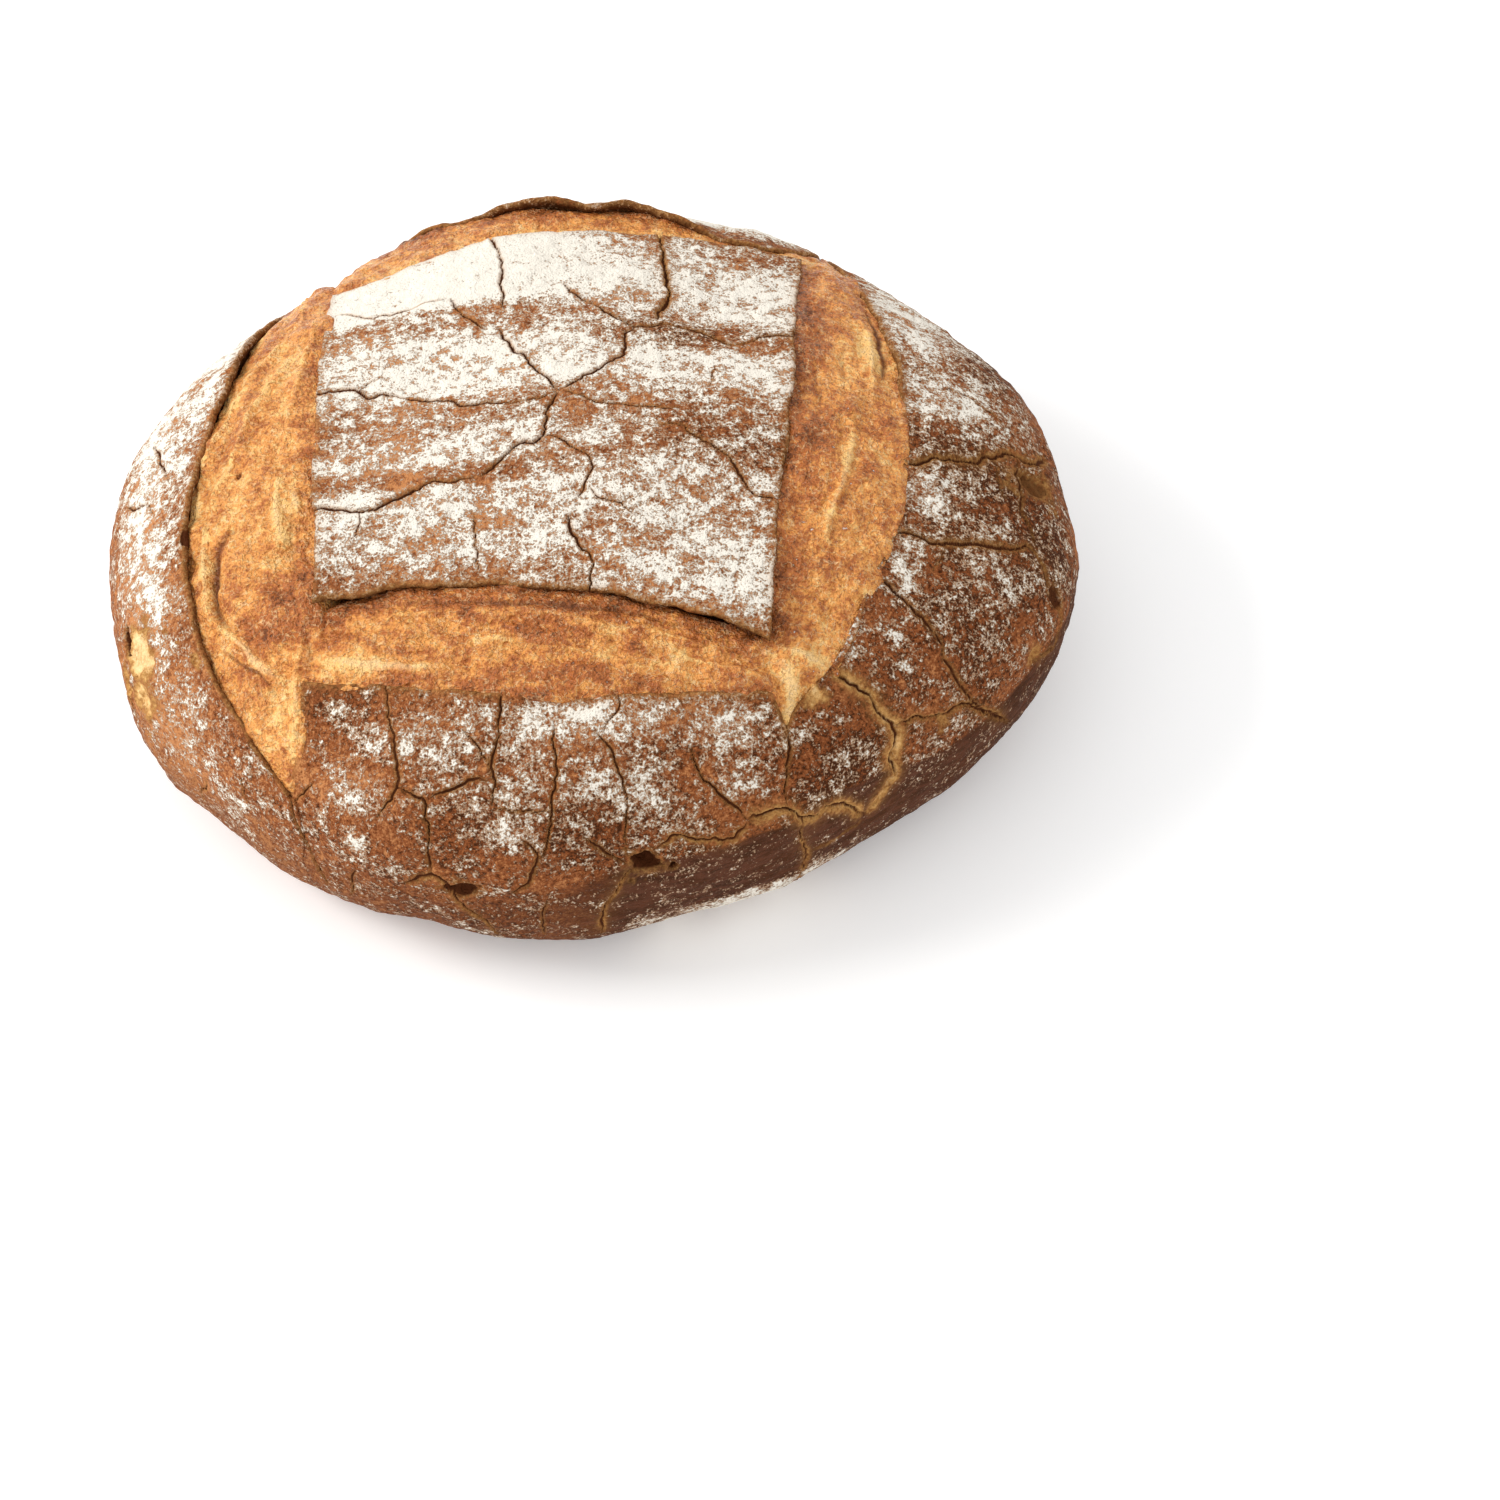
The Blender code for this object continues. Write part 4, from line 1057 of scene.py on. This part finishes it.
def crumb_material():
    """Golden risen crumb: four tones by browning with painted shade, paleness and noise, with streaks along
    the slash.

    Over them lie brown freckles, fine creamy squiggles where a noise is near zero, which are painted
    highlights, flour, and creases darkened with painted shade.
    """
    found = bpy.data.materials.get("golden crumb")
    if found:
        return found
    s = Shading("golden crumb")
    flow = s.layer("flow", "Vector")
    streak = s.noise(0.0032, 4.0, place=flow, stretch=(0.5, 1.0, 1.0), roughness=0.62)
    broad = s.noise(0.013, 3.0)
    blotch = s.noise(0.0050, 3.0, roughness=0.62)
    speck = s.noise(0.0015, 2.0, roughness=0.6)
    grain = s.noise(0.0008, 1.0)
    freckle = s.noise(0.0012, 2.0, roughness=0.6, stretch=(1.0, 1.0, -1.0))
    wrinkle = s.noise(0.0027, 2.0, roughness=0.5, stretch=(1.0, -1.0, 1.0))
    vein = 1.0 - (wrinkle * wrinkle).rise(0.0, 0.012)
    pale = s.layer("pale")
    level = s.layer("bake_and_shade") + streak * 0.26 + broad * 0.42 + blotch * 0.50 + speck * 0.32 + grain * 0.26
    level = level - pale * 0.55
    tint = s.mix(level.rise(-0.12, 0.34), colour("crumb_light"), colour("crumb_gold"))
    tint = s.mix(level.rise(0.30, 0.86), tint, colour("crumb_brown"))
    tint = s.mix(level.rise(0.80, 1.30), tint, colour("crumb_deep_and_shade"))
    tint = s.mix((freckle + level * 0.3).rise(0.30, 0.70) * 0.72, tint, colour("crumb_brown"))
    # Painted highlights: creamy flecks along the squiggles stand for glints; the paleness of the strands is
    # their own colour.
    cream_and_highlight = vein * (0.5 - blotch * 0.8 - grain * 0.4).clamped() * 0.52 + pale.rise(0.45, 1.10) * 0.45
    tint = s.mix(cream_and_highlight.clamped(), tint, colour("crumb_cream_and_highlight"))
    dust = (s.layer("flour") + blotch * 0.24 + speck * 0.32 + grain * 0.26).rise(0.44, 0.66)
    tint = s.mix(dust * 0.8, tint, colour("flour"))
    # Painted shade in the creases.
    tint = s.mix(s.layer("crack").rise(0.05, 0.90), tint, colour("crumb_deep_and_shade"))
    height = streak * 0.24 + blotch * 0.46 - speck * 0.34 - grain * 0.18 + vein * 0.14
    return s.finish(tint, 0.34 + speck * 0.10 + dust * 0.3, height, 0.0012, 0.28)


class LOAF_OT_plate(bpy.types.Operator):
    """Build the centre plate of crust inside the four slashes"""

    bl_idname = "loaf.plate"
    bl_label = "Centre plate"

    def execute(self, context):
        form = Form(loaf_settings())
        columns, rows = counts(130, 142)
        low = ragged(smooth_path(PLATE_FRONT, columns), 1.0, 0.7 * MM, 10.0 * MM)
        high = ragged(smooth_path(PLATE_BACK, columns), 2.0, 0.7 * MM, 12.0 * MM)[::-1]
        start = ragged(smooth_path(PLATE_LEFT, rows), 3.0, 0.6 * MM, 10.0 * MM)[::-1]
        end = ragged(smooth_path(PLATE_RIGHT, rows), 4.0, 0.6 * MM, 10.0 * MM)
        rims = {"low": (loaf_settings().plate_lip, 1.0), "high": (0.6 * MM, 0.7),
                "start": (0.9 * MM, 0.7), "end": (1.0 * MM, 0.8)}
        crust_piece("centre_plate", form, (low, high, start, end), rims,
                    (0.0, 0.0, form.height * 0.5), crust_material())
        return {"FINISHED"}


class LOAF_OT_flaps(bpy.types.Operator):
    """Build the four flaps of outer crust round the slashes"""

    bl_idname = "loaf.flaps"
    bl_label = "Outer crust"

    def execute(self, context):
        sizes = loaf_settings()
        form = Form(sizes)
        skin = crust_material()
        middle = form.waist
        back = (150, 104)
        columns = counts(*back, coarse=1.3)[0]
        ear = sizes.back_ear * np.interp(np.linspace(0.0, 1.0, columns), *np.array(EAR_RISE).T)
        flap("left_flap", form, OUTER_LEFT, (None, CORNER_BACK_LEFT), (None, CORNER_FRONT_LEFT),
             seeds=(21, 22, 23), sizes=(225, 92), lip=sizes.outer_lip, pole=(-0.05, 0.0, middle),
             material=skin, coarse=1.1)
        flap("front_flap", form, OUTER_FRONT, (RUN_FRONT_LEFT, CORNER_FRONT_LEFT),
             (RUN_FRONT_RIGHT, CORNER_FRONT_RIGHT), seeds=(22, 24, 25), sizes=(140, 104), lip=0.6 * MM,
             pole=(0.0, -0.045, middle), material=skin, coarse=0.9)
        flap("right_flap", form, OUTER_RIGHT, (RUN_RIGHT_FRONT, CORNER_FRONT_RIGHT),
             (None, CORNER_BACK_RIGHT), seeds=(24, 26, 27), sizes=(215, 110), lip=0.4 * MM,
             pole=(0.045, 0.0, middle), material=skin, coarse=1.15)
        flap("back_flap", form, OUTER_BACK, (RUN_BACK_RIGHT, CORNER_BACK_RIGHT),
             (RUN_BACK_LEFT, CORNER_BACK_LEFT), seeds=(26, 21, 28), sizes=back, lip=ear,
             pole=(0.0, 0.045, middle), material=skin, coarse=1.3)
        return {"FINISHED"}


def crumb_piece(name, form, outer, inner, seed, sizes, depths, swell, lean, pole, bake_and_shade, flour, dive=0.0,
                ear=0.0):
    """Risen crumb in a slash, from its outer edge to the plate, hidden a little under both.

    Across the slash it runs from the depth at its outer edge to the depth at the plate, and swells
    between them like a cushion: a power of a sine that leans to one side. dive sinks its two ends under
    the crumb they meet, and ear lifts it up to the inside of an ear along its outer edge. All in mm.
    bake_and_shade gives how browned it is, with painted shade beside the plate on some pieces, from
    the shares of the way along and across.
    """
    columns, rows = counts(*sizes, coarse=1.05)
    low = smooth_path(outer, columns)
    high = smooth_path(inner, columns)
    across = np.linspace(0.0, 1.0, rows)[:, None]
    start, end = (low[k] + (high[k] - low[k]) * across for k in (0, -1))
    sheet = coons(low, high, start, end)
    base = form.lifted(sheet, np.zeros((rows, columns)))
    v = across + np.zeros((1, columns))
    u = np.linspace(0.0, 1.0, columns)[None] + np.zeros((rows, 1))
    width = np.linalg.norm(high - low, axis=-1)[None]
    cushion = np.sin(math.pi * v ** math.exp(lean)) ** 0.6
    full = np.clip(width / (FULL_WIDTH * MM), 0.2, 1.0)
    along = u * sizes[0] * MM
    flow = np.stack([along, (v - 0.5) * width, np.full_like(along, seed * 0.05)], axis=-1)
    strands = NOISE.octaves(flow * np.array([0.3, 1.0, 1.0]), 5.0 * MM, 3)
    lumps, knobs, fine = (NOISE.octaves(base + seed, wave * MM, 2) for wave in (14.0, 5.0, 1.9))
    lift = -(depths[0] * (1.0 - v) + depths[1] * v) + swell * cushion * full
    lift = lift + 0.55 * strands + 0.9 * lumps * full + 0.70 * knobs + 0.30 * fine
    lift = lift - dive * np.clip(1.0 - np.minimum(u, 1.0 - u) * sizes[0] / DIVE_FROM, 0.0, 1.0) ** 1.5
    climb = np.clip(1.0 - v / EAR_SHARE, 0.0, 1.0) ** 1.3
    lift = lift + ear * np.interp(u, *np.array(EAR_RISE).T) * climb
    groove, stain_and_shade, pale = crumb_fields(sheet)
    edge = np.minimum(v, 1.0 - v) * width
    hidden = HIDDEN_DEPTH * np.clip(1.0 - edge / (HIDDEN_WIDTH * MM), 0.0, 1.0)
    places = bake_and_shade(u, v)
    for at_p, at_q, half_p, half_q, rise in CRUMB_PLACES:
        places = places + rise * blob(sheet / MM, at_p, at_q, half_p, half_q)
    lift = (lift + groove - hidden) * MM
    layers = {
        "flow": flow,
        "bake_and_shade": places + 0.12 * lumps + 0.14 * strands + 0.16 * (1.0 - cushion),
        "flour": flour + np.zeros((rows, columns)),
        "crack": stain_and_shade,
        "pale": pale,
    }
    rim = np.zeros(2 * (rows + columns) - 4)
    return shell(name, form, sheet, lift, layers, rim, pole, crumb_material())


def crumb_fields(flat):
    """Lift in mm, painted shade and paleness of the creases and strands of the crumb.

    Each is a ridge or a crease along a ragged curve, which falls off with the square of the distance
    and tapers to both ends. A crease is darkened with painted shade that grows with its depth.
    """
    shape = flat.shape[:-1]
    points = flat.reshape(-1, 2)
    lift, stain_and_shade, pale = np.zeros((3, len(points)))
    for index, (width, rise, paleness, knots) in enumerate(STRANDS):
        near, distance, share, _, swell = along_curve(
            points, knots, 0.5, ((61.0 + index, 0.9, 8.0),), 2.5 * width * MM, index * 0.41, 6.0, 2)
        taper = np.sin(math.pi * np.clip(share, 0.0, 1.0)) ** 0.5
        half = np.maximum(0.5 * width * MM * swell * (0.4 + 0.6 * taper), 0.3 * MM)
        across = np.exp(-(distance / half) ** 2) * taper
        lift[near] += rise * across
        # Painted shade in a crease, darker the deeper it is.
        stain_and_shade[near] = np.maximum(stain_and_shade[near], across * min(0.9, max(0.0, -0.9 * rise)))
        pale[near] = np.maximum(pale[near], paleness * across)
    return lift.reshape(shape), stain_and_shade.reshape(shape), pale.reshape(shape)


def moved(points, p, q):
    """Points in mm moved by p and q."""
    return tuple((x + p, y + q) for x, y in points)


class LOAF_OT_crumb(bpy.types.Operator):
    """Build the golden crumb risen in the four slashes"""

    bl_idname = "loaf.crumb"
    bl_label = "Risen crumb"

    def execute(self, context):
        form = Form(loaf_settings())
        middle = form.waist
        outer = moved(OUTER_LEFT, -5, 0)
        inner = ((-88, 112),) + moved(PLATE_LEFT, 5, 0) + ((-60, -66), (-63, -80), (-68, -95), (-75, -108))
        crumb_piece("left_crumb", form, outer, inner, seed=1.0, sizes=(225, 44), depths=(2.6, 2.0),
                    swell=2.8, lean=-0.1, pole=(-0.03, 0.0, middle), flour=0.02,
                    bake_and_shade=lambda u, v: 0.35 + 0.05 * v + 0.10 * np.clip(0.35 - u, 0, 0.2))
        outer = ((71, -106), (72, -95)) + moved(OUTER_RIGHT, 5, 0)
        inner = ((60, -107), (57, -98), (54, -88), (53, -78)) + moved(PLATE_RIGHT, -5, 0) + ((72, 121),)
        crumb_piece("right_crumb", form, outer, inner, seed=2.0, sizes=(225, 42), depths=(1.0, 2.4),
                    swell=1.6, lean=0.15, pole=(0.03, 0.0, middle), flour=0.10,
                    # Darker towards the plate: partly browner crumb, partly painted shade beside the plate's
                    # edge.
                    bake_and_shade=lambda u, v: 0.45 + 0.50 * np.clip(v * 3.4 - 1.8, 0, 1))
        outer = ((-74, -78),) + moved(OUTER_FRONT[1:-1], 0, -5) + ((64, -93),)
        inner = ((-72, -54),) + moved(PLATE_FRONT[1:-1], 0, 5) + ((66, -66),)
        crumb_piece("front_crumb", form, outer, inner, seed=3.0, sizes=(140, 46), depths=(0.8, 2.8),
                    swell=2.2, lean=-0.25, pole=(0.0, -0.03, middle), flour=0.04, dive=1.4,
                    # Darker towards the plate: partly browner crumb, partly painted shade under the plate's
                    # edge.
                    bake_and_shade=lambda u, v: 0.57 + 0.40 * np.clip(v * 2.6 - 1.4, 0, 1))
        outer = ((82, 108),) + moved(OUTER_BACK[1:-1], 0, 6) + ((-86, 108),)
        inner = ((74, 82),) + moved(PLATE_BACK[1:-1], 0, -5) + ((-84, 72),)
        crumb_piece("back_crumb", form, outer, inner, seed=4.0, sizes=(155, 30), depths=(1.4, 1.2),
                    swell=1.2, lean=0.1, pole=(0.0, 0.03, middle), flour=0.03, dive=2.0, ear=5.4,
                    bake_and_shade=lambda u, v: 0.26 + 1.15 * np.clip(1.0 - v / EAR_SHARE, 0, 1) ** 1.4)
        return {"FINISHED"}


class LOAF_OT_inside(bpy.types.Operator):
    """Build the body of the loaf under the crust, and the base crust it stands on"""

    bl_idname = "loaf.inside"
    bl_label = "Body and base"

    def execute(self, context):
        form = Form(loaf_settings())
        skin = crust_material()
        angle = np.linspace(0.0, 2.0 * math.pi, 180, endpoint=False)
        direction = np.stack([np.cos(angle), np.sin(angle)], axis=-1)
        reaches = np.concatenate([np.linspace(0.006, form.waist_arc, 26),
                                  np.linspace(form.waist_arc, form.foot_arc - 0.002, 10)[1:]])
        flat = np.zeros(len(reaches) * len(angle) + 2)
        # The body is darkened halfway to the crack colour: painted shade for where it shows through gaps
        # between the pieces.
        layers = {"flour": flat, "bake_and_shade": flat + 0.2, "crack": flat + 0.5, "raw": flat, "side": flat}
        self.ringed("body", form, direction, reaches, np.full(len(reaches), -BODY_DROP * MM),
                    form.height - BODY_DROP * MM, BODY_BOTTOM * MM, layers, skin)
        reaches = np.concatenate([np.linspace(form.foot_arc - 0.014, form.foot_arc, 8),
                                  np.linspace(form.foot_arc, form.arc[-1], 18)[1:-1]])
        flat = np.zeros(len(reaches) * len(angle) + 2)
        layers = {"flour": flat + 0.25, "bake_and_shade": flat + 0.6, "crack": flat, "raw": flat, "side": flat + 1.0}
        fade = np.clip((form.foot_arc - reaches) / (BASE_FADE * MM), 0.0, 1.0)
        self.ringed("base_crust", form, direction, reaches, -BASE_DROP * MM * fade, form.waist, 0.0,
                    layers, skin)
        return {"FINISHED"}

    def ringed(self, name, form, direction, reaches, lifts, top, bottom, layers, material):
        """Closed piece of rings round the loaf between a top pole and a bottom pole.

        Each ring is at its reach from the top, lifted off the base form by its own lift.
        """
        rings, count = len(reaches), len(direction)
        body = form.lifted(direction * reaches[:, None, None], lifts[:, None] + np.zeros((rings, count)))
        body = body.reshape(-1, 3)
        middle = (body.min(0) + body.max(0)) / 2.0
        points = np.concatenate([[(middle[0], middle[1], top)], body, [(middle[0], middle[1], bottom)]])
        ring = np.arange(count)
        following = np.roll(ring, -1)
        upper = 1 + count * np.arange(rings - 1)[:, None]
        corners = (upper + ring, upper + count + ring, upper + count + following, upper + following)
        quads = np.stack(corners, axis=-1).reshape(-1, 4)
        last = 1 + (rings - 1) * count
        triangles = np.concatenate([
            np.stack([np.zeros(count, dtype=int), 1 + ring, 1 + following], axis=-1),
            np.stack([np.full(count, len(points) - 1), last + following, last + ring], axis=-1),
        ])
        add_mesh(name, points, quads, triangles, layers, material)


class LOAF_OT_stage(bpy.types.Operator):
    """Build the pale floor, the soft studio light and the camera"""

    bl_idname = "loaf.stage"
    bl_label = "Stage"

    def execute(self, context):
        stage = stage_settings()
        scene = context.scene
        mesh = bpy.data.meshes.new("floor")
        mesh.from_pydata([(-6, -6, 0), (6, -6, 0), (6, 6, 0), (-6, 6, 0)], [], [(0, 1, 2, 3)])
        floor = bpy.data.objects.new("floor", mesh)
        scene.collection.objects.link(floor)
        s = Shading("pale floor")
        s.shader.inputs["Base Color"].default_value = (*stage.floor, 1.0)
        s.shader.inputs["Roughness"].default_value = 0.9
        s.shader.inputs["Specular IOR Level"].default_value = 0.1
        s.shader.inputs["Emission Color"].default_value = (1.0, 1.0, 1.0, 1.0)
        s.shader.inputs["Emission Strength"].default_value = stage.glow
        mesh.materials.append(s.material)
        world = bpy.data.worlds.new("studio")
        world.use_nodes = True
        background = world.node_tree.nodes["Background"]
        background.inputs["Color"].default_value = (1.0, 1.0, 1.0, 1.0)
        background.inputs["Strength"].default_value = stage.sky
        scene.world = world
        self.lamp("key light", (-1.45, 0.06, 1.15), 0.7, stage.key, (1.0, 0.985, 0.96))
        scene.view_settings.view_transform = "Standard"
        scene.view_settings.look = "None"
        self.camera(stage)
        return {"FINISHED"}

    def lamp(self, name, place, size, power, tint):
        """Square area light turned to the loaf."""
        data = bpy.data.lights.new(name, "AREA")
        data.shape = "SQUARE"
        data.size = size
        data.energy = power
        data.color = tint
        lamp = bpy.data.objects.new(name, data)
        lamp.location = place
        lamp.rotation_euler = (Vector((0.0, 0.0, 0.04)) - Vector(place)).to_track_quat("-Z", "Y").to_euler()
        bpy.context.scene.collection.objects.link(lamp)

    def camera(self, stage):
        """Camera looking along +Y and down at the aim point on the floor."""
        data = bpy.data.cameras.new("camera")
        data.lens = stage.lens
        data.sensor_width = 36.0
        data.clip_start = 0.01
        data.dof.use_dof = False
        camera = bpy.data.objects.new("camera", data)
        aim = Vector((stage.aim[0], stage.aim[1], 0.0))
        forward = Vector((0.0, math.cos(stage.elevation), -math.sin(stage.elevation)))
        camera.location = aim - forward * stage.distance
        camera.rotation_euler = (math.pi / 2.0 - stage.elevation, 0.0, 0.0)
        bpy.context.scene.collection.objects.link(camera)
        bpy.context.scene.camera = camera


class LOAF_PT_panel(bpy.types.Panel):
    """Sidebar panel of the loaf"""

    bl_idname = "LOAF_PT_panel"
    bl_label = "Sourdough loaf"
    bl_space_type = "VIEW_3D"
    bl_region_type = "UI"
    bl_category = "Loaf"

    def draw(self, context):
        for group in (context.scene.loaf_settings, context.scene.loaf_stage):
            box = self.layout.box()
            for name in group.__annotations__:
                box.prop(group, name)
        for operator in OPERATORS:
            self.layout.operator(operator.bl_idname)


OPERATORS = (LOAF_OT_inside, LOAF_OT_crumb, LOAF_OT_plate, LOAF_OT_flaps, LOAF_OT_stage)
CLASSES = (LoafSettings, LoafStage) + OPERATORS + (LOAF_PT_panel,)


def register():
    """Register the classes and the scene's settings."""
    for item in CLASSES:
        bpy.utils.register_class(item)
    bpy.types.Scene.loaf_settings = bpy.props.PointerProperty(type=LoafSettings)
    bpy.types.Scene.loaf_stage = bpy.props.PointerProperty(type=LoafStage)


def unregister():
    """Remove the scene's settings and the classes."""
    del bpy.types.Scene.loaf_stage
    del bpy.types.Scene.loaf_settings
    for item in reversed(CLASSES):
        bpy.utils.unregister_class(item)


def main():
    """Build the loaf and its stage."""
    register()
    bpy.ops.loaf.inside()
    bpy.ops.loaf.crumb()
    bpy.ops.loaf.plate()
    bpy.ops.loaf.flaps()
    bpy.ops.loaf.stage()
    bpy.context.view_layer.update()


if __name__ == "__main__":
    main()
